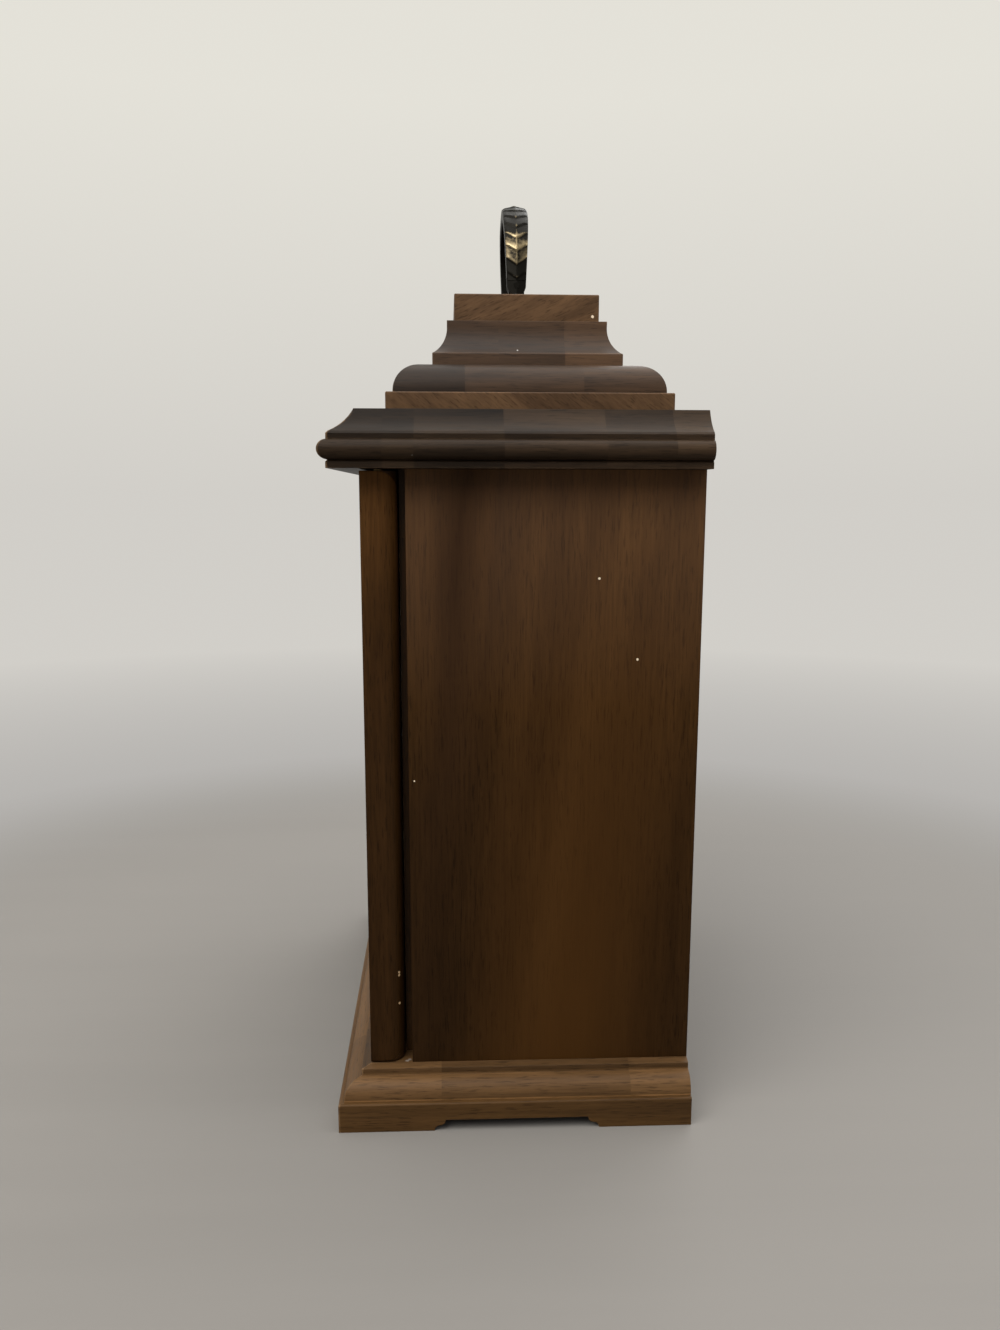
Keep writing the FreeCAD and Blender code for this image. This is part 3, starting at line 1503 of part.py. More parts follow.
def pendulum():
    """Rod with its eye and the slot for the crutch pin, then the lens-shaped bob."""
    eye = arbor("pendulum_ring", [
        (ZERO, eye_depth), (dims.pendulum_eye, eye_depth),
        (dims.pendulum_eye, eye_depth + dims.eye_thickness),
        (ZERO, eye_depth + dims.eye_thickness),
    ], *ANCHOR_AT)
    pin_drop = dims.crutch_length - dims.crutch_width / 2
    half = dims.rod_width / 2
    strip = box("pendulum_strip", (-half, half),
                (front + rod_depth, front + rod_depth + dims.rod_thickness),
                (dial_z + anchor_z - pendulum_foot, dial_z + anchor_z))
    boss = rod("pendulum_boss", dims.boss_radius, dims.rod_thickness, ZERO,
               front + rod_depth, dial_z + anchor_z - pin_drop, ALONG_DEPTH)
    bore = rod("pendulum_bore", dims.pendulum_stud + dims.running_fit,
               dims.eye_thickness + dims.overrun * 2, ZERO, front + eye_depth - dims.overrun,
               dial_z + anchor_z, ALONG_DEPTH)
    hole = rod("crutch_hole", dims.tip_radius + dims.running_fit * 2,
               dims.rod_thickness + dims.overrun * 2, ZERO, front + rod_depth - dims.overrun,
               dial_z + anchor_z - pin_drop, ALONG_DEPTH)
    part(cut("pendulum_rod", fuse("pendulum_bars", eye, strip, boss), bore, hole),
         "pendulum_rod")
    middle = rod_depth + dims.rod_thickness / 2
    half_thick = dims.bob_thickness / 2
    half_edge = dims.bob_edge / 2
    bulge = half_thick - half_edge
    bend = (dims.bob_radius * dims.bob_radius + bulge * bulge) / (bulge * 2)
    lens = arbor("bob_lens", [
        (ZERO, middle - half_thick, bend, 1),
        (dims.bob_radius, middle - half_edge),
        (dims.bob_radius, middle + half_edge, bend, 1),
        (ZERO, middle + half_thick),
    ], ZERO, anchor_z - pendulum_length)
    nut_low = dial_z + anchor_z - pendulum_foot
    nut = rod("rating_nut", dims.rating_nut_radius, dims.rating_nut_length, ZERO,
              front + middle, nut_low)
    slot = box("bob_slot", (-half, half),
               (front + rod_depth, front + rod_depth + dims.rod_thickness),
               (nut_low - dims.overrun, dial_z + anchor_z - pendulum_length
                + dims.bob_radius + dims.overrun))
    part(group("pendulum_bob", cut("bob", lens, slot), cut("rating_nut_bored", nut, slot)),
         "pendulum_bob")


def movement_seat():
    """The board that the movement stands on, and the two cleats glued under its ends."""
    depth = (front + plate_front_depth - dims.seat_overhang,
             front + rear_face_depth + dims.seat_overhang)
    top = dial_z - dims.plate_bottom
    low = top - dims.seat_thickness
    part(box("seat_board", (-inner, inner), depth, (low, top)), "seat_board")
    cleat_low = low - dims.cleat_width
    part(group("seat_cleats",
               box("cleat_left", (-inner, -inner + dims.cleat_width), depth, (cleat_low, low)),
               box("cleat_right", (inner - dims.cleat_width, inner), depth, (cleat_low, low))),
         "seat_cleats")


# Carrying handle: a D-shaped bail whose forked feet fold on the tongues of two turned posts.
handle_y = top_middle - dims.handle_forward


def carrying_handle():
    span = dims.handle_half_span
    thick = dims.handle_thickness
    half_width_y = dims.handle_width / 2
    axis = cap_top + dims.handle_pivot_rise
    arch = cap_top + dims.handle_height - thick / 2 - span
    foot = axis - dims.handle_foot_width / 2
    body = new_body("handle_band")
    path = body.newObject("Sketcher::SketchObject", "handle_path")
    support = [item for item in body.Origin.OriginFeatures if item.Role == "XZ_Plane"]
    path.AttachmentSupport = (support[0], [""])
    path.MapMode = "FlatFace"
    open_path(path, [(span, foot), (span, arch, span, 1), (ZERO, arch + span, span, 1),
                     (-span, arch), (-span, foot)])
    inside = span - thick / 2
    outside = span + thick / 2
    edge = outside - dims.handle_crown
    ease = dims.edge_ease
    section = [
        (inside, ease - half_width_y),
        (inside + ease, -half_width_y),
        (edge, -half_width_y),
        (outside, ZERO),
        (edge, half_width_y),
        (inside + ease, half_width_y),
        (inside, half_width_y - ease),
    ]
    profile = sketch_on(body, "XY", [section], lift=foot)
    sweep = body.newObject("PartDesign::AdditivePipe", "handle_sweep")
    sweep.Profile = profile
    sweep.Spine = (path, ["Edge%d" % (number + 1) for number in range(path.GeometryCount)])
    place(body, ZERO, handle_y, ZERO)
    taper = new_body("handle_taper")
    low = dims.handle_foot_width / 2
    past = dims.overrun
    high = cap_top + dims.handle_height + past
    side = [
        (-low, axis, low, 1),
        (ZERO, axis - low, low, 1),
        (low, axis),
        (half_width_y, axis + dims.handle_taper_height),
        (half_width_y, high),
        (-half_width_y, high),
        (-half_width_y, axis + dims.handle_taper_height),
    ]
    reach = outside + past
    pad(taper, sketch_on(taper, "YZ", [side], lift=-reach), reach * 2)
    place(taper, ZERO, handle_y, ZERO)
    across = Rotation(Vector(0, 1, 0), 90)
    tongue = dims.tongue_thickness / 2
    slot = tongue + dims.tongue_clearance
    slots = []
    pins = []
    posts = []
    pin = dims.handle_pin_radius
    shoulder = dims.handle_pivot_rise - low - dims.shoulder_clearance
    radius = dims.post_radius
    for side in (-1, 1):
        word = "left" if side < 0 else "right"
        x = span * side
        slots.append(box("handle_slot_" + word, (x - slot, x + slot),
                         (handle_y - half_width_y - past, handle_y + half_width_y + past),
                         (axis - low - past, axis + radius + dims.slot_clearance)))
        slots.append(rod("handle_bore_" + word, pin, thick + past * 2, x - thick / 2 - past,
                         handle_y, axis, across))
        pins.append(rod("handle_pin_" + word, pin, thick, x - thick / 2, handle_y, axis,
                        across))
        flange = dims.post_flange
        stem = place(turned("post_stem_" + word, [
            (ZERO, -dims.post_tail),
            (dims.post_tail_radius, -dims.post_tail),
            (dims.post_tail_radius, ZERO),
            (dims.post_flange_radius, ZERO),
            (dims.post_flange_radius, flange * 0.5),
            (dims.post_flange_radius - flange * 0.5, flange),
            (radius, flange),
            (radius, shoulder),
            (ZERO, shoulder),
        ]), x, handle_y, cap_top)
        blade = box("post_blade_" + word, (x - tongue, x + tongue),
                    (handle_y - radius, handle_y + radius), (cap_top + shoulder, axis))
        tip = rod("post_tip_" + word, radius, dims.tongue_thickness, x - tongue, handle_y,
                  axis, across)
        bore = rod("post_bore_" + word, pin + dims.running_fit,
                   dims.tongue_thickness + past * 2, x - tongue - past, handle_y, axis, across)
        posts.append(cut("post_" + word, fuse("post_solid_" + word, stem, blade, tip), bore))
    part(cut("handle", common("handle_blank", body, taper), *slots), "handle")
    part(group("handle_posts", *posts), "handle_posts")
    part(group("handle_pins", *pins), "handle_pins")


# Assembly order: case from the floor up, doors, dial, movement, handle.
plinth()
base_moulding()
cornice()
carcass()
hinge_bushes()
cap_top = stepped_top()
front_door()
back_door()
dial()
hands()
plates()
going_train(barrel_and_winder())
motion_work()
anchor()
back_cock()
pendulum()
movement_seat()
carrying_handle()


def check_and_write():
    """Stops at any object that failed, then writes each sub-part to its own file."""
    doc.recompute()
    failed = [item.Name for item in doc.Objects
              if "Invalid" in item.State or "Error" in item.State]
    failed += [item.Label for item in PARTS
               if item.Shape.isNull() or not item.Shape.isValid()]
    if failed:
        raise RuntimeError("these failed: " + ", ".join(failed))
    os.makedirs("parts", exist_ok=True)
    for item in PARTS:
        item.Shape.exportStep("parts/%s.step" % item.Label)
    print("wrote %d sub-parts" % len(PARTS))


check_and_write()
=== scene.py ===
"""Looks of a walnut bracket clock: materials, dial, handle ornament, stage, light and camera."""
import math

import bmesh
import bpy
from mathutils import Matrix, Vector


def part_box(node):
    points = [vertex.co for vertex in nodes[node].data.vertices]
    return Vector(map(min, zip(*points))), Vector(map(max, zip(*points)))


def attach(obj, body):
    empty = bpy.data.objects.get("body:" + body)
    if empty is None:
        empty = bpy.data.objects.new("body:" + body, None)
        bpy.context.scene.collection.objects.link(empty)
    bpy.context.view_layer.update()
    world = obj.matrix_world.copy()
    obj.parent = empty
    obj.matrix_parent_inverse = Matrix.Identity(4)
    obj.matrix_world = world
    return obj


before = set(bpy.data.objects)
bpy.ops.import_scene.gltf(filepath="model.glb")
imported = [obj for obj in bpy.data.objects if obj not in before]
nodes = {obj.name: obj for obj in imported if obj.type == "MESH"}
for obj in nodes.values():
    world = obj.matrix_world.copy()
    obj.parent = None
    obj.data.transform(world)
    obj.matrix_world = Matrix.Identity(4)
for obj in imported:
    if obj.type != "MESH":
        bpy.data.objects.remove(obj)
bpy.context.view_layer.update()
MM = 0.001
X, Y, Z = 0, 1, 2

# Camera, as the photograph's perspective gives it: metres, degrees and pixels.
CAMERA_PLACE = Vector((0.6301, -0.0297, 0.2947))
CAMERA_YAW = 2.64
CAMERA_DOWN = 10.85
CAMERA_ROLL = 0.11
FOCAL_PIXELS = 1134.0
PHOTO_HEIGHT = 1330
AXIS_ROW = 711.3
SENSOR_MM = 36.0


def make_camera():
    data = bpy.data.cameras.new("camera")
    data.sensor_width = SENSOR_MM
    data.lens = FOCAL_PIXELS * SENSOR_MM / PHOTO_HEIGHT
    data.shift_y = (AXIS_ROW - PHOTO_HEIGHT / 2) / PHOTO_HEIGHT
    camera = bpy.data.objects.new("camera", data)
    bpy.context.scene.collection.objects.link(camera)
    yaw, down, roll = (math.radians(a) for a in (CAMERA_YAW, CAMERA_DOWN, CAMERA_ROLL))
    ahead = Vector((-math.cos(down) * math.cos(yaw), math.cos(down) * math.sin(yaw),
                    -math.sin(down)))
    level = Vector((math.sin(yaw), math.cos(yaw), 0.0))
    up = level.cross(ahead)
    right = math.cos(roll) * level + math.sin(roll) * up
    up = math.cos(roll) * up - math.sin(roll) * level
    turn = Matrix((right, up, -ahead)).transposed()
    camera.matrix_world = Matrix.Translation(CAMERA_PLACE) @ turn.to_4x4()
    bpy.context.scene.camera = camera


# Materials. Every texture runs in the frame's own metres, so its scale is the real one.

# Sockets of a Mix node: the first and the second value, and the result.
MIX_VECTORS = (4, 5, 1)
MIX_COLOURS = (6, 7, 2)


class Tree:
    """A tree of shader nodes."""

    def __init__(self, tree):
        self.tree = tree

    def node(self, kind, inputs=None, **settings):
        made = self.tree.nodes.new(kind)
        for key, value in settings.items():
            setattr(made, key, value)
        for key, value in (inputs or {}).items():
            self.feed(made.inputs[key], value)
        return made

    def feed(self, socket, value):
        if isinstance(value, bpy.types.NodeSocket):
            self.tree.links.new(value, socket)
        else:
            socket.default_value = value

    def maths(self, operation, *values):
        made = self.node("ShaderNodeMath", operation=operation)
        for index, value in enumerate(values):
            self.feed(made.inputs[index], value)
        return made.outputs[0]

    def vector_maths(self, operation, *values):
        made = self.node("ShaderNodeVectorMath", operation=operation)
        for index, value in enumerate(values):
            self.feed(made.inputs[index], value)
        return made.outputs["Value" if operation in ("DISTANCE", "LENGTH") else "Vector"]

    def ramp(self, value, stops, interpolation="LINEAR"):
        """A colour ramp from (position, colour or grey) stops."""
        made = self.node("ShaderNodeValToRGB", {"Fac": value})
        made.color_ramp.interpolation = interpolation
        elements = made.color_ramp.elements
        while len(elements) < len(stops):
            elements.new(0.5)
        for element, (position, colour) in zip(elements, stops):
            element.position = position
            if isinstance(colour, (int, float)):
                colour = (colour, colour, colour)
            element.color = (*colour, 1.0)
        return made.outputs["Color"]

    def mixed(self, share, first, second, blend="MIX"):
        made = self.node("ShaderNodeMix", data_type="RGBA", blend_type=blend)
        self.feed(made.inputs["Factor"], share)
        first_socket, second_socket, result = MIX_COLOURS
        for socket, value in ((first_socket, first), (second_socket, second)):
            if isinstance(value, tuple) and len(value) == 3:
                value = (*value, 1.0)
            self.feed(made.inputs[socket], value)
        return made.outputs[result]

    def times(self, first, second):
        """One colour multiplied by another, or by a share of each channel."""
        return self.mixed(1.0, first, second, "MULTIPLY")

    def span(self, value, low, high, to_low=0.0, to_high=1.0, **settings):
        """Maps a value from low..high to another span, and clamps it."""
        made = self.node("ShaderNodeMapRange", {"Value": value, "From Min": low,
                                                "From Max": high, "To Min": to_low,
                                                "To Max": to_high}, **settings)
        return made.outputs[0]

    def background_rays(self):
        """1 for the rays that see the pale background: the camera's, in mirrors, through glass."""
        rays = self.node("ShaderNodeLightPath").outputs
        seen = rays["Is Camera Ray"]
        for kind in ("Is Glossy Ray", "Is Transmission Ray"):
            seen = self.maths("MAXIMUM", seen, rays[kind])
        return seen

    def finish(self, output, share, first, second):
        """Ends the tree in a mix of two surfaces."""
        made = self.node("ShaderNodeMixShader", {"Fac": share})
        self.feed(made.inputs[1], first)
        self.feed(made.inputs[2], second)
        self.feed(self.tree.nodes[output].inputs["Surface"], made.outputs[0])


class Shader(Tree):
    """One node material with a Principled surface."""

    def __init__(self, name):
        self.material = bpy.data.materials.new(name)
        self.material.use_nodes = True
        super().__init__(self.material.node_tree)
        self.surface = self.tree.nodes["Principled BSDF"]
        self.place = self.node("ShaderNodeTexCoord").outputs["Object"]

    def set(self, **inputs):
        """Sets Principled inputs, with spaces in their names written as underscores."""
        for key, value in inputs.items():
            self.feed(self.surface.inputs[key.replace("_", " ")], value)

    def axis(self, index):
        return self.node("ShaderNodeSeparateXYZ", {"Vector": self.place}).outputs[index]

    def stretched(self, scale, start=None):
        """The place of a point, scaled by features per metre, one number or X, Y and Z."""
        if isinstance(scale, float):
            scale = (scale, scale, scale)
        return self.vector_maths("MULTIPLY", start or self.place, scale)

    def turned(self, vector, degrees):
        """A place turned about the X axis."""
        inputs = {"Vector": vector, "Angle": math.radians(degrees)}
        return self.node("ShaderNodeVectorRotate", inputs, rotation_type="X_AXIS").outputs[0]

    def mitred_place(self, node):
        """The place of a point, with X and Y exchanged on the front and back of a node."""
        low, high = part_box(node)
        outward = []
        for index in (X, Y):
            middle, half = (low[index] + high[index]) / 2, (high[index] - low[index]) / 2
            off = self.maths("ABSOLUTE", self.maths("SUBTRACT", self.axis(index), middle))
            outward.append(self.maths("SUBTRACT", off, half))
        ahead = self.maths("GREATER_THAN", outward[Y], outward[X])
        exchanged = self.node("ShaderNodeCombineXYZ", {
            "X": self.axis(Y), "Y": self.axis(X), "Z": self.axis(Z)}).outputs[0]
        made = self.node("ShaderNodeMix", data_type="VECTOR")
        first_socket, second_socket, result = MIX_VECTORS
        self.feed(made.inputs[0], ahead)
        self.feed(made.inputs[first_socket], self.place)
        self.feed(made.inputs[second_socket], exchanged)
        return made.outputs[result]

    def noise(self, vector, detail=3.0, roughness=0.5, distortion=0.0):
        made = self.node("ShaderNodeTexNoise", {"Scale": 1.0, "Detail": detail,
                                                "Roughness": roughness,
                                                "Distortion": distortion, "Vector": vector})
        return made.outputs["Fac"]

    def cells(self, scale):
        """The outputs of a pattern of cells, by features per metre."""
        inputs = {"Vector": self.stretched(scale), "Scale": 1.0}
        return self.node("ShaderNodeTexVoronoi", inputs).outputs

    def rough(self, value, smoothest, roughest):
        """Roughness that follows the usual span of a noise."""
        self.set(Roughness=self.span(value, 0.3, 0.7, smoothest, roughest))

    def bump(self, height, strength, distance, edge):
        """Gives the surface relief, and softens its sharp edges over a small radius."""
        eased = self.node("ShaderNodeBevel", {"Radius": edge}, samples=4).outputs[0]
        self.set(Normal=self.node("ShaderNodeBump", {
            "Normal": eased, "Height": height, "Strength": strength,
            "Distance": distance}).outputs[0])


# Walnut: dark, middle and light tones of each group of pieces, in linear colour.
PANEL_TONES = ((0.0200, 0.0088, 0.0024), (0.0440, 0.0195, 0.0054), (0.0660, 0.0300, 0.0086))
DOOR_TONES = ((0.0160, 0.0066, 0.0016), (0.0330, 0.0140, 0.0036), (0.0500, 0.0220, 0.0062))
MOULDING_TONES = ((0.0130, 0.0078, 0.0044), (0.0270, 0.0162, 0.0090), (0.0440, 0.0265, 0.0140))
TIER_TONES = ((0.0150, 0.0080, 0.0046), (0.0340, 0.0185, 0.0098), (0.0560, 0.0300, 0.0150))
CAP_TONES = ((0.0300, 0.0156, 0.0075), (0.0740, 0.0400, 0.0188), (0.1120, 0.0610, 0.0280))
BASE_TONES = ((0.0450, 0.0225, 0.0085), (0.1050, 0.0540, 0.0205), (0.1620, 0.0860, 0.0340))
PLINTH_TONES = ((0.0370, 0.0180, 0.0058), (0.0770, 0.0380, 0.0122), (0.1150, 0.0580, 0.0190))
INSIDE_TONES = ((0.110, 0.0560, 0.0260), (0.180, 0.0980, 0.0480), (0.250, 0.1450, 0.0760))

# Grain: features per metre across it and along it, from the broad figure to the pores.
FIGURE_GRAIN = (16.0, 1.9)
BAND_GRAIN = (85.0, 5.0)
FIBRE_GRAIN = (820.0, 34.0)
PORE_GRAIN = (1650.0, 120.0)
FIGURE_SHARE = 0.78
BAND_SHARE = 0.22
FIGURE_WARP = 1.4
BAND_WARP = 0.8
TONE_SPREAD = 0.19
FIBRE_TONES = ((0.28, 0.70), (0.5, 1.0), (0.74, 1.27))
PORE_TONES = ((0.33, 0.30), (0.43, 1.0))
PORE_SHARE = 0.6
RING_STRETCH = 0.14
SHIFT_WAY = (1.0, 0.7, 1.3)
BLOCK_JUMP = (1.7, 2.3, 1.1)
WOOD_ROUGHNESS = (0.38, 0.52)
WOOD_RELIEF = 0.12 * MM
WOOD_BUMP = 0.16
EDGE_EASE = 0.45 * MM

# Chips are ragged balls of another colour round a place: bare wood, rubbed wood, and pale spots
# at the foot of the gap behind the door.
BARE_WOOD = (0.80, 0.66, 0.48)
RUBBED_WOOD = (0.62, 0.42, 0.23)
PALE_SPOT_COLOUR = (0.20, 0.165, 0.135)
CHIP_GRAIN = 1500.0
CHIP_RAGGED = 0.8
CHIP_REACH = 1.3

# Worn edges and painted highlights: convex edges are made paler, both wear and a painted
# highlight. How far in it reaches, how hidden a point may be, and the patches it leaves.
LIT_WORN_EDGE_COLOUR = (0.24, 0.145, 0.072)
WORN_EDGE = 0.9 * MM
WORN_FROM = 0.62
WORN_FULL = 0.34
WORN_SHARE = 0.55
WORN_GRAIN = 190.0
WORN_PATCHES = (0.35, 0.6)

# Specks of dust: cells per metre, the cells left empty and the radius of a speck in its cell.
DUST_COLOUR = (0.52, 0.50, 0.47)
DUST_CELLS = 105.0
DUST_EMPTY = 0.62
DUST_RADIUS = 0.034


def chipped(wood, colour, chips, bare):
    for x, y, z, radius in chips:
        gap = wood.vector_maths("DISTANCE", wood.place, (x, y, z))
        ragged = wood.maths("ADD", gap, wood.maths(
            "MULTIPLY", wood.noise(wood.stretched(CHIP_GRAIN)), radius * CHIP_RAGGED))
        inside = wood.maths("LESS_THAN", ragged, radius * CHIP_REACH)
        colour = wood.mixed(inside, colour, bare)
    return colour


def lit_worn_edges(wood, colour):
    edge = wood.node("ShaderNodeAmbientOcclusion", {"Distance": WORN_EDGE},
                     inside=True, only_local=True, samples=8).outputs["AO"]
    patchy = wood.span(wood.noise(wood.stretched(WORN_GRAIN)), *WORN_PATCHES)
    worn_and_lit = wood.span(edge, WORN_FROM, WORN_FULL, 0.0, WORN_SHARE)
    return wood.mixed(wood.maths("MULTIPLY", worn_and_lit, patchy), colour, LIT_WORN_EDGE_COLOUR)


def dusted(wood, colour):
    cells = wood.cells(DUST_CELLS)
    pick = wood.node("ShaderNodeSeparateColor", {"Color": cells["Color"]}).outputs[0]
    few = wood.maths("GREATER_THAN", pick, DUST_EMPTY)
    speck = wood.maths("LESS_THAN", cells["Distance"], DUST_RADIUS)
    return wood.mixed(wood.maths("MULTIPLY", few, speck), colour, DUST_COLOUR)


def walnut(name, tones, grain, shift=0.0, blocks=None, chips=(), bare=BARE_WOOD,
           figure=1.0, tilt=0.0, lean=0.0, contrast=1.0, mitred=None, dusty=False,
           edge_wear_and_highlight=False, sheen=0.12, shade=None):
    """Grain runs along one axis. Blocks are the pieces glued end to end along it.

    Shift moves the pattern, so that no two pieces are alike. Tilt leans the growth rings that
    show where a side is cut across the grain, and lean leans the broad bands of a side, both in
    degrees. Mitred is the node that the grain runs round: along the sides as told, and across
    the front and back. Shade changes the colour of a piece by place, with painted light and
    shade, and on the right side also with streaks in the wood. Worn edges are made paler, as
    wear and a painted highlight.
    """
    dark, middle, light = tones
    wood = Shader(name)
    if mitred:
        wood.place = wood.mitred_place(mitred)
    start = wood.vector_maths("ADD", wood.turned(wood.place, tilt),
                              tuple(shift * way for way in SHIFT_WAY))
    if blocks:
        first, last = blocks[0][0], blocks[-1][0]
        stops = [((place - first) / (last - first), tone) for place, tone in blocks[:-1]]
        block_tone = wood.ramp(wood.span(wood.axis(grain), first, last), stops, "CONSTANT")
        start = wood.vector_maths("MULTIPLY_ADD", block_tone, BLOCK_JUMP, start)

    def grained(scale, place=start):
        across, along = scale
        scales = [across] * 3
        if tilt:
            scales[Y] *= RING_STRETCH
        scales[grain] = along
        return wood.stretched(scales, place)

    broad = wood.noise(grained(FIGURE_GRAIN, wood.turned(start, lean)), detail=4.0,
                       distortion=FIGURE_WARP * figure)
    bands = wood.noise(grained(BAND_GRAIN), roughness=0.55, distortion=BAND_WARP * figure)
    fibre = wood.noise(grained(FIBRE_GRAIN), detail=5.0, roughness=0.66)
    mass = wood.maths("ADD", wood.maths("MULTIPLY", broad, FIGURE_SHARE),
                      wood.maths("MULTIPLY", bands, BAND_SHARE))
    spread = TONE_SPREAD / contrast
    colour = wood.ramp(mass, [(0.5 - spread, dark), (0.5, middle), (0.5 + spread, light)])
    colour = wood.times(colour, wood.ramp(fibre, FIBRE_TONES))
    pores = wood.ramp(wood.noise(grained(PORE_GRAIN), detail=2.0), PORE_TONES)
    colour = wood.mixed(PORE_SHARE, colour, pores, "MULTIPLY")
    if blocks:
        colour = wood.times(colour, block_tone)
    if shade:
        colour = shade(wood, colour)
    colour = chipped(wood, colour, chips, bare)
    # Convex edges made paler: wear and a painted highlight.
    if edge_wear_and_highlight:
        colour = lit_worn_edges(wood, colour)
    if dusty:
        colour = dusted(wood, colour)
    wood.set(Base_Color=colour, Specular_IOR_Level=sheen)
    wood.rough(fibre, *WOOD_ROUGHNESS)
    relief = wood.maths("ADD", wood.maths("MULTIPLY", fibre, 0.5),
                        wood.maths("MULTIPLY", pores, 0.5))
    wood.bump(relief, WOOD_BUMP, WOOD_RELIEF, EDGE_EASE)
    return wood.material


# Painted light and shade by height, in metres: (height, share of the wood's own colour). The
# right side and the door are painted lighter towards the top and darker towards the bottom, and
# the cornice lighter on its lower part, the bead.
PANEL_LIGHT_LEVELS = ((0.06, 0.68), (0.18, 0.97), (0.25, 1.38), (0.305, 2.40))
DOOR_LIGHT_LEVELS = ((0.06, 0.70), (0.18, 0.86), (0.25, 1.25), (0.305, 2.80))
CORNICE_LIGHT_LEVELS = ((0.305, 1.6), (0.3165, 1.4), (0.3205, 1.0), (0.331, 1.0))
BLEND = 0.3 * MM


def light_by_height(wood, colour, levels):
    """Painted light and shade by height: a colour times a share that changes with height, and may
    pass 1.
    """
    low, high = levels[0][0], levels[-1][0]
    most = max(level for _, level in levels)
    stops = [((height - low) / (high - low), level / most) for height, level in levels]
    share = wood.ramp(wood.span(wood.axis(Z), low, high), stops)
    return wood.times(wood.times(colour, (most, most, most)), share)


# A shade of painted light and shade by height, from (height, share) levels.
def lit_by_height(levels):
    def shade(wood, colour):
        return light_by_height(wood, colour, levels)

    return shade


# Cap and step: painted light on the ends of a piece, the faces to its sides, which are made paler
# than its top, front and back.
END_DEPTH = 0.3 * MM
END_LIGHTER = (1.36, 1.36, 1.36)


def end_painted_light(node):
    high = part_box(node)[1]

    def shade(wood, colour):
        off = wood.maths("ABSOLUTE", wood.axis(X))
        at_end = wood.maths("GREATER_THAN", off, high.x - END_DEPTH)
        return wood.mixed(at_end, colour, wood.times(colour, END_LIGHTER))

    return shade


# The right side's streaks, in metres. They wander, and lean to the front as they go down. A
# band says how far from a streak's middle it starts to show, and how far it is in full.
STREAK_LEAN = -0.10
LEAN_HEIGHT = 0.18
WANDER = 0.03
WANDER_GRAIN = (6.0, 6.0, 9.0)
WARM_COLOUR = (0.066, 0.0270, 0.0058)
WARM_Y = 0.038
WARM_BAND = (0.051, 0.0068)
WARM_HEIGHTS = (0.300, 0.060)
WARM_SHARE = 0.70
DARK_COLOUR = (0.024, 0.0110, 0.0048)
DARK_Y = -0.030
DARK_BAND = (0.0182, 0.0)
DARK_HEIGHTS = (0.12, 0.26)
DARK_SHARES = (0.2, 0.78)
# Painted shade low down at the front of the side, and a greyer painted reflection at its top.
SHADY_DEPTHS = (0.014, -0.016)
SHADY_HEIGHTS = (0.25, 0.15)
SHADY_SHARE = 0.37
TOP_REFLECTION_COLOUR = (0.080, 0.050, 0.035)
TOP_REFLECTION_HEIGHTS = (0.20, 0.295)
TOP_REFLECTION_SHARE = 0.42


def side_panel_light_and_streaks(wood, colour):
    """Painted light and reflection at the top, painted shade low down at the front, a warm and a
    dark streak.
    """
    height = wood.axis(Z)
    wander = wood.maths("MULTIPLY", wood.maths(
        "SUBTRACT", wood.noise(wood.stretched(WANDER_GRAIN), detail=2.0), 0.5), WANDER)
    lean = wood.maths("MULTIPLY", wood.maths("SUBTRACT", height, LEAN_HEIGHT), STREAK_LEAN)
    across = wood.maths("ADD", wood.maths("ADD", wood.axis(Y), wander), lean)

    def streak(y, band):
        off = wood.maths("ABSOLUTE", wood.maths("SUBTRACT", across, y))
        return wood.span(off, *band)

    colour = light_by_height(wood, colour, PANEL_LIGHT_LEVELS)
    shady = wood.maths("MULTIPLY", wood.span(across, *SHADY_DEPTHS),
                       wood.span(height, *SHADY_HEIGHTS))
    kept = wood.maths("SUBTRACT", 1.0, wood.maths("MULTIPLY", shady, SHADY_SHARE))
    colour = wood.times(colour, kept)
    top_reflection = wood.maths("MULTIPLY", wood.span(height, *TOP_REFLECTION_HEIGHTS), TOP_REFLECTION_SHARE)
    colour = wood.mixed(top_reflection, colour, TOP_REFLECTION_COLOUR)
    warm = wood.maths("MULTIPLY", streak(WARM_Y, WARM_BAND), wood.span(height, *WARM_HEIGHTS))
    colour = wood.mixed(wood.maths("MULTIPLY", warm, WARM_SHARE), colour, WARM_COLOUR)
    dark = wood.maths("MULTIPLY", streak(DARK_Y, DARK_BAND),
                      wood.span(height, *DARK_HEIGHTS, *DARK_SHARES))
    return wood.mixed(dark, colour, DARK_COLOUR)


# Metals, wax and glass. Grains are features per metre.
TARNISH_GRAIN = 38.0
TARNISH_TONES = ((0.36, 0.0), (0.80, 1.0))
BRUSHED_GRAIN = (520.0, 520.0, 36.0)
# Handle: dark patina, and gold where it is rubbed through, which also paints highlights on the
# crests and a band of reflection on each arm.
PATINA = (0.0105, 0.0097, 0.0082)
GOLD_WORN_AND_LIT = (0.28, 0.220, 0.128)
SPECKLE_GRAIN = 520.0
SPECKLE_SHARE = 0.7
GOLD_FROM = 0.35
GOLD_FULL = 0.95
DRAWN_GRAIN = (900.0, 60.0, 900.0)
DRAWN_SHADE = 0.72
ROUND_LINES = 2600.0
PUNCHED_GRAIN = 1500.0
DOT_RADIUS = 0.6
CLOUD_GRAIN = 30.0
MATTED_CLOUD_GRAIN = 40.0
WAX_GRAIN = 800.0
RIPPLE_GRAIN = 14.0
BRASS_ROUGHER = 0.18
STEEL_ROUGHER = 0.12
STEEL_EASE = 0.15 * MM
BRASS_EASE = 0.2 * MM


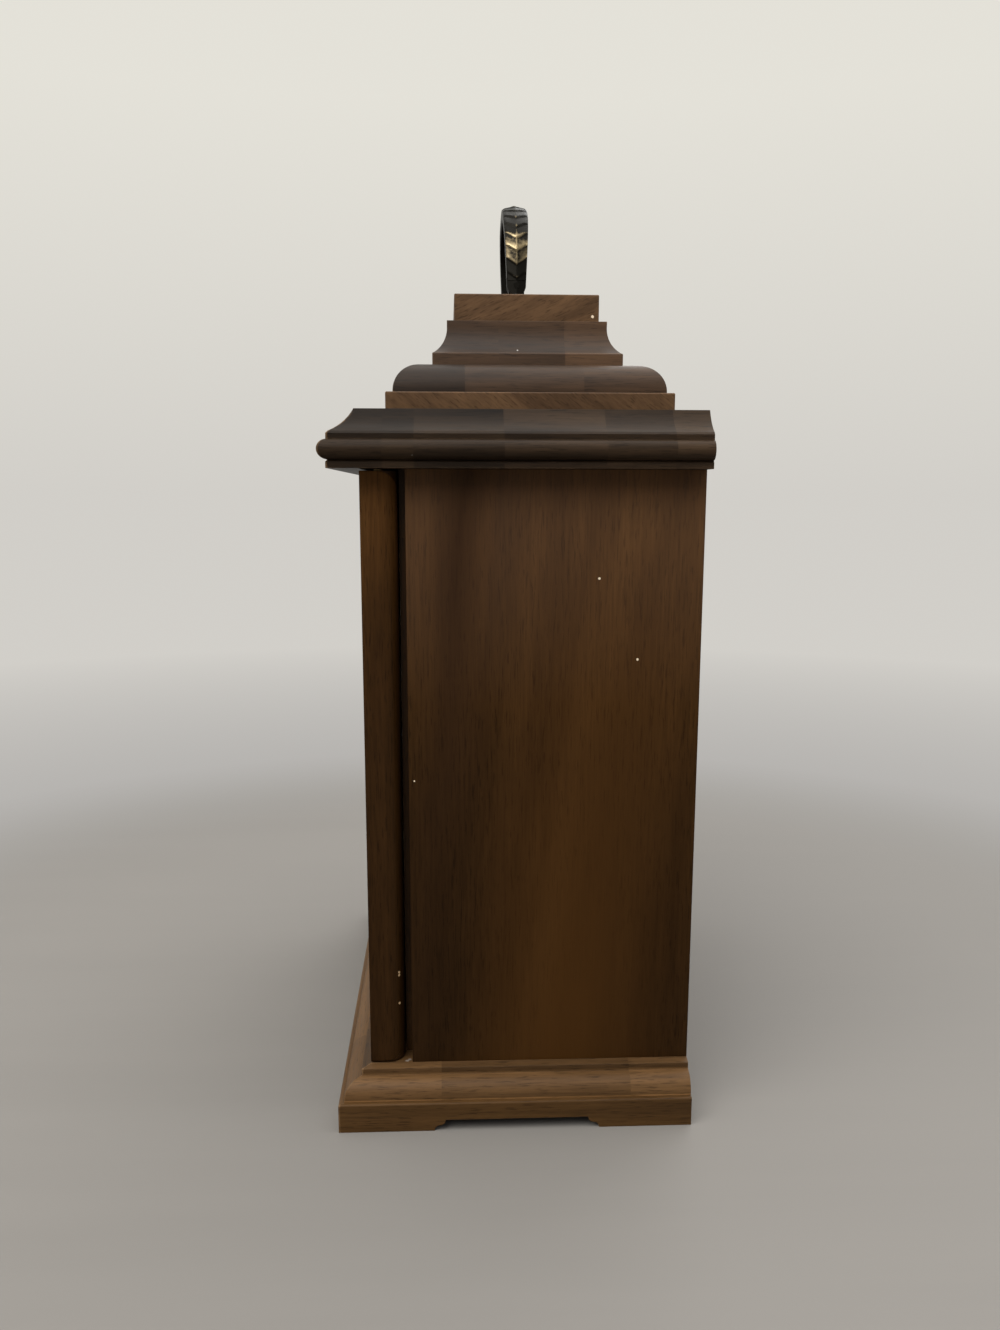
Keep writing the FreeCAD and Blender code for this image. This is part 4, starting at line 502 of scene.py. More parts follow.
def brass(name, colour, dull, roughness):
    """Brass with smudges, faint brushing and darker tarnish in patches."""
    metal = Shader(name)
    tarnish = metal.noise(metal.stretched(TARNISH_GRAIN), detail=6.0, roughness=0.62,
                          distortion=0.3)
    metal.set(Base_Color=metal.mixed(metal.ramp(tarnish, TARNISH_TONES), colour, dull))
    metal.set(Metallic=1.0)
    metal.rough(tarnish, roughness, roughness + BRASS_ROUGHER)
    metal.bump(metal.noise(metal.stretched(BRUSHED_GRAIN)), strength=0.04,
               distance=0.02 * MM, edge=BRASS_EASE)
    return metal.material


def aged_handle_brass():
    """Dark patina, rubbed through to gold where the wear attribute says the metal is high; that
    gold also paints highlights there, and a band of painted reflection on each arm.
    """
    metal = Shader("aged_brass")
    wear_and_light = metal.node("ShaderNodeAttribute", attribute_name="wear_and_light").outputs["Fac"]
    speckle = metal.noise(metal.stretched(SPECKLE_GRAIN), detail=4.0, roughness=0.6)
    worn_and_lit = metal.maths("ADD", wear_and_light, metal.maths("MULTIPLY", metal.maths(
        "SUBTRACT", speckle, 0.5), SPECKLE_SHARE))
    share = metal.span(worn_and_lit, GOLD_FROM, GOLD_FULL)
    metal.set(Base_Color=metal.mixed(share, PATINA, GOLD_WORN_AND_LIT), Metallic=1.0)
    metal.set(Roughness=metal.span(share, 0.0, 1.0, to_low=0.46, to_high=0.26))
    metal.bump(speckle, strength=0.12, distance=0.08 * MM, edge=BRASS_EASE)
    return metal.material


def steel(name, colour, roughness):
    metal = Shader(name)
    drawn = metal.noise(metal.stretched(DRAWN_GRAIN))
    dull = tuple(channel * DRAWN_SHADE for channel in colour)
    metal.set(Base_Color=metal.mixed(drawn, colour, dull), Metallic=1.0)
    metal.rough(drawn, roughness, roughness + STEEL_ROUGHER)
    metal.bump(drawn, strength=0.05, distance=0.03 * MM, edge=STEEL_EASE)
    return metal.material


def silvered(centre):
    """Silvered brass, brushed round the dial's centre."""
    metal = Shader("silvered_ring")
    out = metal.vector_maths("DISTANCE", metal.place, tuple(centre))
    round_lines = metal.node("ShaderNodeCombineXYZ", {
        "X": metal.maths("MULTIPLY", out, ROUND_LINES)})
    lines = metal.noise(round_lines.outputs[0], detail=2.0)
    cloud = metal.noise(metal.stretched(CLOUD_GRAIN), detail=4.0)
    colour = metal.mixed(cloud, (0.74, 0.72, 0.66), (0.62, 0.60, 0.53))
    metal.set(Base_Color=colour, Metallic=0.55, Specular_IOR_Level=0.5)
    metal.rough(lines, smoothest=0.34, roughest=0.46)
    metal.bump(lines, strength=0.08, distance=0.03 * MM, edge=STEEL_EASE)
    return metal.material


def matted_brass():
    """The dial plate: brass with the fine punched grain of a matted centre."""
    metal = Shader("matted_brass")
    dots = metal.cells(PUNCHED_GRAIN)["Distance"]
    cloud = metal.noise(metal.stretched(MATTED_CLOUD_GRAIN), detail=4.0)
    colour = metal.mixed(cloud, (0.70, 0.52, 0.25), (0.52, 0.37, 0.17))
    roughness = metal.span(dots, 0.0, DOT_RADIUS, to_low=0.38, to_high=0.56)
    metal.set(Base_Color=colour, Metallic=1.0, Roughness=roughness)
    metal.bump(dots, strength=0.5, distance=0.10 * MM, edge=BRASS_EASE)
    return metal.material


def black_wax():
    wax = Shader("black_wax")
    mottle = wax.noise(wax.stretched(WAX_GRAIN))
    wax.set(Base_Color=wax.mixed(mottle, (0.012, 0.012, 0.013), (0.024, 0.023, 0.022)))
    wax.rough(mottle, smoothest=0.35, roughest=0.5)
    return wax.material


def window_glass():
    glass = Shader("window_glass")
    glass.set(Base_Color=(0.96, 0.98, 0.97, 1.0), Transmission_Weight=1.0, IOR=1.45)
    glass.rough(glass.noise(glass.stretched(RIPPLE_GRAIN), detail=2.0), smoothest=0.0,
                roughest=0.02)
    shadow = glass.node("ShaderNodeLightPath").outputs["Is Shadow Ray"]
    clear = glass.node("ShaderNodeBsdfTransparent", {"Color": (0.95, 0.97, 0.96, 1.0)})
    glass.finish("Material Output", shadow, glass.surface.outputs[0], clear.outputs[0])
    return glass.material


def paint(names, material):
    for name in names.split():
        data = nodes[name].data
        data.materials.clear()
        data.materials.append(material)


# Mouldings and tiers are glued from blocks: where each starts along them, in metres, and its
# tone. The last entry is the far end.
CORNICE_BLOCKS = ((-0.086, 0.62), (-0.0576, 0.46), (-0.0440, 0.60), (-0.0054, 1.0),
                  (0.0382, 0.72), (0.0677, 1.0), (0.086, 1.0))
CORNICE_FRONT_BLOCKS = ((-0.145, 0.95), (-0.052, 1.10), (0.041, 0.86), (0.145, 1.0))
ROUND_BLOCKS = ((-0.075, 0.50), (-0.022, 0.84), (0.0310, 0.95), (0.086, 1.0))
COVE_BLOCKS = ((-0.075, 0.98), (-0.006, 0.84), (0.0240, 1.0), (0.086, 1.0))
BASE_BLOCKS = ((-0.084, 1.10), (-0.0348, 0.86), (0.0550, 1.0), (0.086, 1.0))
BASE_LEFT_BLOCKS = ((-0.084, 0.98), (0.0120, 0.92), (0.086, 1.0))
BASE_FRONT_BLOCKS = ((-0.143, 0.9), (-0.020, 1.08), (0.090, 0.94), (0.143, 1.0))

# Chips, in millimetres. On the right side: behind the door's face, height and radius. On the
# stile's rear edge: height and radius. On the cap's end: before its back, above its foot, radius.
# In the gap behind the door: in from the side, behind the door, radius.
PANEL_CHIPS = ((105.4, 257.9, 0.65), (123.3, 221.5, 0.6), (22.3, 166.0, 0.4))
STILE_CHIPS = ((72.2, 0.66), (70.8, 0.70), (56.6, 0.74))
STILE_EDGE_IN = (2.61 * MM, 2.08 * MM)
CAP_CHIP = (2.9, 2.6, 0.7)
GAP_PALE_SPOTS = ((1.4, 1.2, 1.0), (2.6, 2.4, 0.9))

# Parts of the base and of the cove, and the shares of their own tone that they get, as painted
# light and shade by height: a pale line on the base's fillet at its foot, painted highlight and
# wear, its top step painted darker, and the cove's nose and upper part painted lighter.
BASE_FILLET = 0.6 * MM
BASE_STEP = 3.1 * MM
FILLET_SHARE = 2.1
OVOLO_SHARE = 0.97
STEP_SHARES = (0.60, 0.66)
COVE_NOSE = 6.0 * MM
NOSE_SHARES = (1.85, 1.75)
COVE_SHARES = (0.95, 1.0, 1.75)


def dress_body():
    x_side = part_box("side_panel_right")[1].x
    stile_low, stile_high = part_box("door_stile_right")
    chips = [(x_side, stile_low.y + depth * MM, height * MM, radius * MM)
             for depth, height, radius in PANEL_CHIPS]
    # The right side: painted light and shade by height, a painted reflection at the top and painted
    # shade low down at the front.
    paint("side_panel_right",
          walnut("walnut_side_right", PANEL_TONES, Z, chips=chips, sheen=0.05, lean=6.0,
                 shade=side_panel_light_and_streaks))
    paint("side_panel_left", walnut("walnut_side_left", PANEL_TONES, Z, shift=3.1, sheen=0.07))
    paint("back_door", walnut("walnut_back", PANEL_TONES, Z, shift=5.7, sheen=0.07))
    paint("back_rails top_board",
          walnut("walnut_back_rails", PANEL_TONES, X, shift=11.6, sheen=0.07))
    edge_x, edge_y = x_side - STILE_EDGE_IN[0], stile_high.y - STILE_EDGE_IN[1]
    chips = [(edge_x, edge_y, height * MM, radius * MM) for height, radius in STILE_CHIPS]
    # The door's right stile: painted light and shade by height.
    paint("door_stile_right",
          walnut("walnut_stile_right", DOOR_TONES, Z, shift=1.3, chips=chips, bare=RUBBED_WOOD,
                 sheen=0.06, shade=lit_by_height(DOOR_LIGHT_LEVELS)))
    paint("door_stile_left", walnut("walnut_stile_left", DOOR_TONES, Z, shift=8.2))
    paint("door_rail_bottom door_rail_top door_glass_beads",
          walnut("walnut_rails", DOOR_TONES, X, shift=4.4))
    paint("front_rails", walnut("walnut_frame_across", DOOR_TONES, X, shift=9.4))
    paint("front_stiles", walnut("walnut_frame_up", DOOR_TONES, Z, shift=10.3))
    paint("base_board seat_board", walnut("walnut_inside_across", INSIDE_TONES, X, shift=1.9))
    paint("seat_cleats", walnut("walnut_inside_up", INSIDE_TONES, Z, shift=2.7))


def dress_top():
    # The cornice: painted light on its lower part, the bead.
    cornice = {"contrast": 1.5, "dusty": True, "edge_wear_and_highlight": True, "sheen": 0.08,
               "shade": lit_by_height(CORNICE_LIGHT_LEVELS)}
    paint("cornice_left cornice_right",
          walnut("walnut_cornice_side", MOULDING_TONES, Y, shift=0.4, blocks=CORNICE_BLOCKS,
                 lean=4.0, **cornice))
    paint("cornice_front",
          walnut("walnut_cornice_front", MOULDING_TONES, X, shift=0.9,
                 blocks=CORNICE_FRONT_BLOCKS, **cornice))
    paint("tier_round",
          walnut("walnut_round", TIER_TONES, Y, shift=6.1, blocks=ROUND_BLOCKS, figure=1.6,
                 lean=-8.0, contrast=1.5, mitred="tier_round", dusty=True, edge_wear_and_highlight=True,
                 sheen=0.16))
    # The cove: painted light on its nose and its upper part, by height.
    cove_low, cove_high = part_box("tier_cove")
    nose_top = cove_low.z + COVE_NOSE
    heights = (cove_low.z, nose_top, nose_top + BLEND, (nose_top + cove_high.z) / 2, cove_high.z)
    cove_light_levels = tuple(zip(heights, NOSE_SHARES + COVE_SHARES))
    paint("tier_cove",
          walnut("walnut_cove", TIER_TONES, Y, shift=8.7, blocks=COVE_BLOCKS, lean=5.0,
                 contrast=1.5, mitred="tier_cove", dusty=True, edge_wear_and_highlight=True, sheen=0.22,
                 shade=lit_by_height(cove_light_levels)))
    # The step and the cap: painted light on their ends, the faces to the sides.
    paint("tier_step", walnut("walnut_step", CAP_TONES, X, shift=2.2, figure=2.2, tilt=38.0,
                              edge_wear_and_highlight=True, shade=end_painted_light("tier_step")))
    cap_low, cap_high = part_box("cap_block")
    before, above, radius = (length * MM for length in CAP_CHIP)
    chips = [(cap_high.x, cap_high.y - before, cap_low.z + above, radius)]
    paint("cap_block", walnut("walnut_cap", CAP_TONES, X, shift=7.3, chips=chips, figure=2.4,
                              tilt=-24.0, edge_wear_and_highlight=True, shade=end_painted_light("cap_block")))


def dress_base():
    low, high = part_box("base_moulding_right")
    fillet_top = low.z + BASE_FILLET
    step_foot = high.z - BASE_STEP
    # The base: a painted highlight and wear on the fillet at its foot, and painted shade on its top
    # step.
    shade = lit_by_height((
        (low.z, FILLET_SHARE), (fillet_top, FILLET_SHARE), (fillet_top + BLEND, OVOLO_SHARE),
        (step_foot - BLEND, OVOLO_SHARE), (step_foot, STEP_SHARES[0]), (high.z, STEP_SHARES[1])))
    x_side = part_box("side_panel_right")[1].x
    door_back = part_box("door_stile_right")[1].y
    # Pale spots at the foot of the gap behind the door.
    chips = [(x_side - inward * MM, door_back + behind * MM, high.z, radius * MM)
             for inward, behind, radius in GAP_PALE_SPOTS]
    paint("base_moulding_right",
          walnut("walnut_base_side", BASE_TONES, Y, shift=2.9, blocks=BASE_BLOCKS, chips=chips,
                 bare=PALE_SPOT_COLOUR, edge_wear_and_highlight=True, shade=shade))
    paint("base_moulding_left",
          walnut("walnut_base_left", BASE_TONES, Y, shift=12.4, blocks=BASE_LEFT_BLOCKS, edge_wear_and_highlight=True,
                 shade=shade))
    paint("base_moulding_front",
          walnut("walnut_base_front", BASE_TONES, X, shift=3.6, blocks=BASE_FRONT_BLOCKS, edge_wear_and_highlight=True,
                 shade=shade))
    paint("plinth_left plinth_right",
          walnut("walnut_plinth_side", PLINTH_TONES, Y, shift=5.2, edge_wear_and_highlight=True))
    paint("plinth_front plinth_back",
          walnut("walnut_plinth_front", PLINTH_TONES, X, shift=6.6, edge_wear_and_highlight=True))


def dress_metal(aged):
    paint("handle handle_posts handle_pins", aged)
    paint("pivot_bushes door_pivot_pins back_door_pins",
          brass("pivot_brass", (0.30, 0.20, 0.09), dull=(0.15, 0.10, 0.05), roughness=0.40))
    paint("door_knob door_catch back_door_knob movement_front_plate movement_back_plate "
          "movement_pillars back_cock mainspring_barrel centre_wheel third_wheel escape_wheel "
          "cannon_pinion minute_wheel hour_wheel hand_nut pendulum_bob",
          brass("polished_brass", (0.80, 0.60, 0.28), dull=(0.50, 0.34, 0.15),
                roughness=0.20))
    paint("spandrels",
          brass("gilt_ground", (0.58, 0.40, 0.18), dull=(0.42, 0.28, 0.12), roughness=0.42))
    paint("dial_plate", matted_brass())
    ring_low, ring_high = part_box("chapter_ring")
    paint("chapter_ring", silvered((ring_low + ring_high) / 2))
    paint("hour_hand minute_hand",
          steel("blued_steel", (0.030, 0.050, 0.150), roughness=0.18))
    paint("winding_arbor anchor pendulum_rod",
          steel("bright_steel", (0.56, 0.56, 0.57), roughness=0.24))
    paint("door_glass", window_glass())


SHARP_ANGLE = math.radians(40)


def piece_from(mesh, name, material, smooth=False):
    data = bpy.data.meshes.new(name)
    mesh.to_mesh(data)
    mesh.free()
    if smooth:
        data.shade_smooth()
        data.set_sharp_from_angle(angle=SHARP_ANGLE)
    data.materials.append(material)
    piece = bpy.data.objects.new(name, data)
    bpy.context.scene.collection.objects.link(piece)
    return piece


# Handle: the overlapping leaves on its outer face, each ending in a V that points down. They
# start above the pivot, widen with the handle over its taper, and are lower near its top.
HANDLE_PIVOT_RISE = 13.0 * MM
HANDLE_FOOT_HALF = 4.75 * MM
HANDLE_TAPER = 34.0 * MM
HANDLE_CROWN = 1.6 * MM
LEAVES_START = 2.0 * MM
LEAF_PITCH = 6.5 * MM
LEAF_SLANT = 0.72
LEAF_BASE = 0.10 * MM
LEAF_HEIGHT = 0.62 * MM
LEAF_SWELL = 1.4
LEAF_CREST = 0.93
LEAF_MARGIN = 0.12 * MM
LEAF_SIDE_POWER = 14
LEAF_SKIRT = 0.35 * MM
LEAF_CALM = 16.0 * MM
CALM_LEAST = 0.45
LEAF_ROWS = 260
LEAF_COLUMNS = 17

# Wear and painted light, 0 to 1: wear and painted highlights on the leaves' crests and on the
# spine down their middle, and a band of painted reflection, which is placed by shares of the way
# from the top to the foot.
CREST_POWER = 4
CREST_WEAR_AND_HIGHLIGHT = 0.54
CREST_REFLECTION = 0.3
SPINE_WEAR_AND_HIGHLIGHT = 0.3
SPINE_NARROW = 9.0
REFLECTION_MIDDLE = 0.72
REFLECTION_SPAN = 0.17
REFLECTION_GOLD = 0.42
REFLECTION_CREST = 0.3


def handle_leaves(material):
    low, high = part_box("handle")
    axis_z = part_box("cap_block")[1].z + HANDLE_PIVOT_RISE
    middle_y = (low.y + high.y) / 2
    half_width = (high.y - low.y) / 2
    outside = high.x
    arch_z = high.z - outside
    start_z = axis_z + LEAVES_START
    arm = arch_z - start_z
    half_length = arm + outside * math.pi / 2
    mesh = bmesh.new()
    wear_and_light_layer = mesh.verts.layers.float.new("wear_and_light")

    def spot(along, y, lift):
        """A point over the outer face: along is 0 at the top and grows to the right arm's foot."""
        distance = half_length - abs(along)
        side = 1.0 if along > 0 else -1.0
        reach = outside + lift
        if distance < arm:
            return Vector((side * reach, middle_y + y, start_z + distance))
        angle = (distance - arm) / outside
        return Vector((side * reach * math.cos(angle), middle_y + y,
                       arch_z + reach * math.sin(angle)))

    def half_at(along):
        rise = spot(along, 0.0, 0.0).z - axis_z
        share = min(max(rise / HANDLE_TAPER, 0.0), 1.0)
        return HANDLE_FOOT_HALF + (half_width - HANDLE_FOOT_HALF) * share - LEAF_MARGIN

    def leaf_rise(along, y):
        """0 where a leaf starts under the one before, and 1 at its own crest."""
        phase = ((abs(along) + abs(y) * LEAF_SLANT) / LEAF_PITCH) % 1.0
        if phase < LEAF_CREST:
            return phase ** LEAF_SWELL
        return (1.0 - phase) / (1.0 - LEAF_CREST)

    # Wear with painted highlights on the crests and the spine, and a band of painted reflection.
    def wear_and_light_at(along, share, rise):
        spine = max(0.0, 1.0 - abs(share) * SPINE_NARROW)
        zone = abs(abs(along) / half_length - REFLECTION_MIDDLE) / REFLECTION_SPAN
        worn_and_lit = max(0.0, 1.0 - zone ** 2)
        return min(1.0, rise ** CREST_POWER * (CREST_WEAR_AND_HIGHLIGHT + CREST_REFLECTION * worn_and_lit)
                   + spine * SPINE_WEAR_AND_HIGHLIGHT + worn_and_lit * (REFLECTION_GOLD + REFLECTION_CREST * rise))

    grid = []
    for row in range(LEAF_ROWS + 1):
        along = (row / LEAF_ROWS * 2 - 1) * half_length
        half = half_at(along)
        calm = CALM_LEAST + (1.0 - CALM_LEAST) * min(abs(along) / LEAF_CALM, 1.0)
        line = []
        for column in range(LEAF_COLUMNS + 2):
            skirt = column in (0, LEAF_COLUMNS + 1) or row in (0, LEAF_ROWS)
            share = (min(max(column, 1), LEAF_COLUMNS) - 1) / (LEAF_COLUMNS - 1) * 2 - 1
            y = share * half
            crown = -HANDLE_CROWN * abs(y) / half_width
            rise = leaf_rise(along, y)
            edge = (1.0 - abs(share) ** LEAF_SIDE_POWER) * calm
            lift = -LEAF_SKIRT if skirt else (LEAF_BASE + LEAF_HEIGHT * rise) * edge
            vert = mesh.verts.new(spot(along, y, crown + lift))
            vert[wear_and_light_layer] = 0.0 if skirt else wear_and_light_at(along, share, rise)
            line.append(vert)
        grid.append(line)
    for first, second in zip(grid, grid[1:]):
        for index in range(len(first) - 1):
            mesh.faces.new((first[index], first[index + 1], second[index + 1], second[index]))
        mesh.faces.new((first[-1], first[0], second[0], second[-1]))
    mesh.faces.new(grid[0])
    mesh.faces.new(list(reversed(grid[-1])))
    bmesh.ops.recalc_face_normals(mesh, faces=mesh.faces)
    piece = piece_from(mesh, "handle_leaves", material, smooth=True)
    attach(piece, "carry_handle")


# Dial: Roman numerals and minute track. Each is a flat shape a little proud of the chapter ring,
# drawn about the dial's centre with X to the right.
NUMERALS = ("XII", "I", "II", "III", "IIII", "V", "VI", "VII", "VIII", "IX", "X", "XI")
INK_THICKNESS = 0.06 * MM
NUMERAL_HEIGHT = 15.5 * MM
NUMERAL_GAP = 1.2 * MM
THICK_STROKE = 2.1 * MM
THIN_STROKE = 0.8 * MM
SERIF = 0.65 * MM
LETTER_WIDTHS = {"I": 4.2 * MM, "V": 9.4 * MM, "X": 9.8 * MM}
LETTER_REACH = 0.30
SERIF_ON_I = 0.42
SERIF_ON_THICK = 0.19
SERIF_ON_THIN = 0.15
TRACK_WIDTH = 2.6 * MM
TRACK_LINE = 0.3 * MM
TRACK_INSET = 1.6 * MM
INNER_LINE_IN = 2.4 * MM
MINUTE_TICK = 0.45 * MM
HOUR_TICK = 1.2 * MM
MERGE = 1e-7


def rolled(points, turn):
    """Points of the dial turned clockwise about its centre."""
    return [(x * math.cos(turn) + z * math.sin(turn), z * math.cos(turn) - x * math.sin(turn))
            for x, z in points]


class Inlay:
    """Flat shapes gathered in one mesh on the dial's face, seen from -Y."""

    def __init__(self, centre, face_y):
        self.mesh = bmesh.new()
        self.centre = centre
        self.face_y = face_y

    def shape(self, points):
        fronts = []
        backs = []
        for x, z in points:
            place = Vector((self.centre.x + x, self.face_y - INK_THICKNESS, self.centre.z + z))
            fronts.append(self.mesh.verts.new(place))
            backs.append(self.mesh.verts.new(place + Vector((0, INK_THICKNESS, 0))))
        self.mesh.faces.new(fronts)
        self.mesh.faces.new(list(reversed(backs)))
        count = len(points)
        for index in range(count):
            after = (index + 1) % count
            self.mesh.faces.new((fronts[index], backs[index], backs[after], fronts[after]))

    def ring(self, inner, outer, steps=180):
        """A ring made of short four-cornered lengths."""
        for index in range(steps):
            a, b = math.tau * index / steps, math.tau * (index + 1) / steps
            self.shape([(reach * math.sin(turn), reach * math.cos(turn))
                        for reach, turn in ((inner, a), (inner, b), (outer, b), (outer, a))])

    def finish(self, name, material):
        bmesh.ops.remove_doubles(self.mesh, verts=self.mesh.verts, dist=MERGE)
        bmesh.ops.recalc_face_normals(self.mesh, faces=self.mesh.faces)
        piece = piece_from(self.mesh, name, material)
        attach(piece, "case")


def letter_strokes(letter, left):
    """The strokes of one numeral letter in a box that starts at left, with feet at height 0."""
    width = LETTER_WIDTHS[letter]
    tall = NUMERAL_HEIGHT
    middle = left + width / 2

    def bar(bottom, top, thick):
        return [(bottom - thick / 2, SERIF / 2), (bottom + thick / 2, SERIF / 2),
                (top + thick / 2, tall - SERIF / 2), (top - thick / 2, tall - SERIF / 2)]

    def serif(x, share, height):
        half = width * share
        return [(x - half, height - SERIF), (x + half, height - SERIF), (x + half, height),
                (x - half, height)]

    if letter == "I":
        return [bar(middle, middle, THICK_STROKE), serif(middle, SERIF_ON_I, tall),
                serif(middle, SERIF_ON_I, SERIF)]
    start, end = middle - width * LETTER_REACH, middle + width * LETTER_REACH
    tops = [serif(start, SERIF_ON_THICK, tall), serif(end, SERIF_ON_THIN, tall)]
    if letter == "V":
        return [bar(middle, start, THICK_STROKE), bar(middle, end, THIN_STROKE)] + tops
    return [bar(end, start, THICK_STROKE), bar(start, end, THIN_STROKE)] + tops + [
        serif(start, SERIF_ON_THIN, SERIF), serif(end, SERIF_ON_THICK, SERIF)]


def dial_marks():
    low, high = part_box("chapter_ring")
    centre = (low + high) / 2
    ink = black_wax()
    track_outer = (high.x - low.x) / 2 - TRACK_INSET
    track_inner = track_outer - TRACK_WIDTH
    base = track_inner - NUMERAL_GAP - NUMERAL_HEIGHT
    numerals = Inlay(centre, low.y)
    for hour, word in enumerate(NUMERALS):
        left = -sum(LETTER_WIDTHS[letter] for letter in word) / 2
        for letter in word:
            for stroke in letter_strokes(letter, left):
                raised = [(x, z + base) for x, z in stroke]
                numerals.shape(rolled(raised, hour * math.tau / 12))
            left += LETTER_WIDTHS[letter]
    numerals.finish("dial_numerals", ink)
    track = Inlay(centre, low.y)
    for radius in (track_outer, track_inner):
        track.ring(radius - TRACK_LINE / 2, radius + TRACK_LINE / 2)
    track.ring(base - INNER_LINE_IN, base - INNER_LINE_IN + TRACK_LINE)
    for minute in range(60):
        half = (HOUR_TICK if minute % 5 == 0 else MINUTE_TICK) / 2
        corners = [(-half, track_inner), (half, track_inner), (half, track_outer),
                   (-half, track_outer)]
        track.shape(rolled(corners, minute * math.tau / 60))
    track.finish("dial_minute_track", ink)


# Corner ornament: scrolls, leaves and a palmette in relief, in millimetres from the outer corner
# inward. The first number runs across the dial and the second up or down it. A volute has its
# centre, its radius and its turns. Widths are half widths at the start, the middle and the end.
RELIEF_SINK = 0.15
RELIEF_BASE = 0.25
RELIEF_RISE = 0.55
RELIEF_BULGE = 1.5
RELIEF_SECTION = ((-1.0, 0.0), (-0.72, 0.62), (0.0, 1.0), (0.72, 0.62), (1.0, 0.0))
BIG_VOLUTE = (43.0, 9.8, 6.6, 1.55)
SMALL_VOLUTE = (60.0, 6.4, 3.4, 1.35)
VOLUTE_SHRINK = 0.80
BIG_STEM = ((25.5, 20.0), (30.0, 4.0))
BIG_WIDTHS = (1.0, 1.45, 0.8)
SMALL_STEM = ((39.5, 4.2), (52.0, 1.2))
SMALL_WIDTHS = (0.8, 1.1, 0.6)
UPRIGHT_STRETCH = 1.10
LEAFLETS = (((33.0, 15.5), (38.5, 20.0)), ((27.0, 9.0), (20.0, 5.5)), ((30.5, 6.0), (26.0, 2.6)),
            ((52.0, 7.5), (50.5, 13.0)), ((65.0, 4.2), (69.5, 3.2)))
LEAFLET_BEND = (1.0, -0.8)
LEAFLET_WIDTHS = (0.5, 1.25, 0.15)
PALMETTE = (24.0, 26.5)
PETALS = ((-56, 12.5), (-29, 17.5), (0, 21.0), (29, 17.5), (56, 12.5))
PETAL_WIDTHS = (0.6, 2.1, 0.2)
BOSS_RADIUS = 2.7 * MM
BOSS_LIFT = 0.3
BOSS_FLATTENED = (1.0, 0.5, 1.0, 1.0)


def volute(across, up, radius, turns, steps=46):
    """A spiral that starts at its top, turns away from the corner and winds inward."""
    points = []
    for index in range(steps + 1):
        share = index / steps
        angle = -math.pi / 2 + share * turns * math.tau
        reach = radius * (1.0 - VOLUTE_SHRINK * share)
        points.append((across + reach * math.cos(angle), up + reach * math.sin(angle)))
    return points


def curve(first, pull, last, steps=12):
    return [tuple((1 - t) ** 2 * a + 2 * t * (1 - t) * b + t * t * c
                  for a, b, c in zip(first, pull, last))
            for t in (index / steps for index in range(steps + 1))]


def halfway(first, last):
    return (first[0] + last[0]) / 2, (first[1] + last[1]) / 2


def branch():
    """The strokes that leave the corner one way: points and widths."""
    strokes = []
    for spiral, stem, widths in ((BIG_VOLUTE, BIG_STEM, BIG_WIDTHS),
                                 (SMALL_VOLUTE, SMALL_STEM, SMALL_WIDTHS)):
        points = volute(*spiral)
        strokes.append((curve(*stem, points[0]) + points[1:], widths))
    for root, tip in LEAFLETS:
        middle = halfway(root, tip)
        pull = (middle[0] + LEAFLET_BEND[0], middle[1] + LEAFLET_BEND[1])
        strokes.append((curve(root, pull, tip, steps=8), LEAFLET_WIDTHS))
    return strokes


def corner_strokes():
    """All strokes of one corner: a branch across, a longer one up, and the palmette between."""
    strokes = branch()
    for points, widths in branch():
        strokes.append(([(b, a * UPRIGHT_STRETCH) for a, b in points], widths))
    towards = math.atan2(-PALMETTE[1], -PALMETTE[0])
    for turn, length in PETALS:
        angle = towards + math.radians(turn)
        tip = (PALMETTE[0] + length * math.cos(angle), PALMETTE[1] + length * math.sin(angle))
        petal = curve(PALMETTE, halfway(PALMETTE, tip), tip, steps=10)
        strokes.append((petal, PETAL_WIDTHS))
    return strokes


def relief_stroke(mesh, points, widths, to_place):
    first, middle, last = widths
    rings = []
    for index, (a, b) in enumerate(points):
        before = points[max(index - 1, 0)]
        after = points[min(index + 1, len(points) - 1)]
        along = Vector((after[0] - before[0], after[1] - before[1])).normalized()
        share = index / (len(points) - 1)
        half = ((1 - share) ** 2 * first + 2 * share * (1 - share) * middle * RELIEF_BULGE
                + share ** 2 * last)
        section = [(side, RELIEF_BASE + RELIEF_RISE * half * rise if rise else 0.0)
                   for side, rise in RELIEF_SECTION]
        section += [(1.0, -RELIEF_SINK), (-1.0, -RELIEF_SINK)]
        rings.append([mesh.verts.new(to_place(a - along.y * half * side,
                                              b + along.x * half * side, lift))
                      for side, lift in section])
    count = len(rings[0])
    for ring, after in zip(rings, rings[1:]):
        for index in range(count):
            turn = (index + 1) % count
            mesh.faces.new((ring[index], ring[turn], after[turn], after[index]))
    mesh.faces.new(list(reversed(rings[0])))
    mesh.faces.new(rings[-1])


def corner_ornament():
    low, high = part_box("spandrels")
    material = brass("gilt_brass", (0.86, 0.64, 0.30), dull=(0.62, 0.44, 0.20), roughness=0.24)
    mesh = bmesh.new()
    for across in (-1, 1):
        for up in (-1, 1):
            corner = Vector((high.x if across > 0 else low.x, low.y,
                             high.z if up > 0 else low.z))

            def to_place(a, b, lift):
                return corner + Vector((-across * a, -lift, -up * b)) * MM

            for points, widths in corner_strokes():
                relief_stroke(mesh, points, widths, to_place)
            boss = Matrix.Translation(to_place(*PALMETTE, BOSS_LIFT))
            bmesh.ops.create_uvsphere(mesh, u_segments=20, v_segments=10, radius=BOSS_RADIUS,
                                      matrix=boss @ Matrix.Diagonal(BOSS_FLATTENED))
    bmesh.ops.recalc_face_normals(mesh, faces=mesh.faces)
    piece = piece_from(mesh, "corner_ornament", material, smooth=True)
    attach(piece, "case")


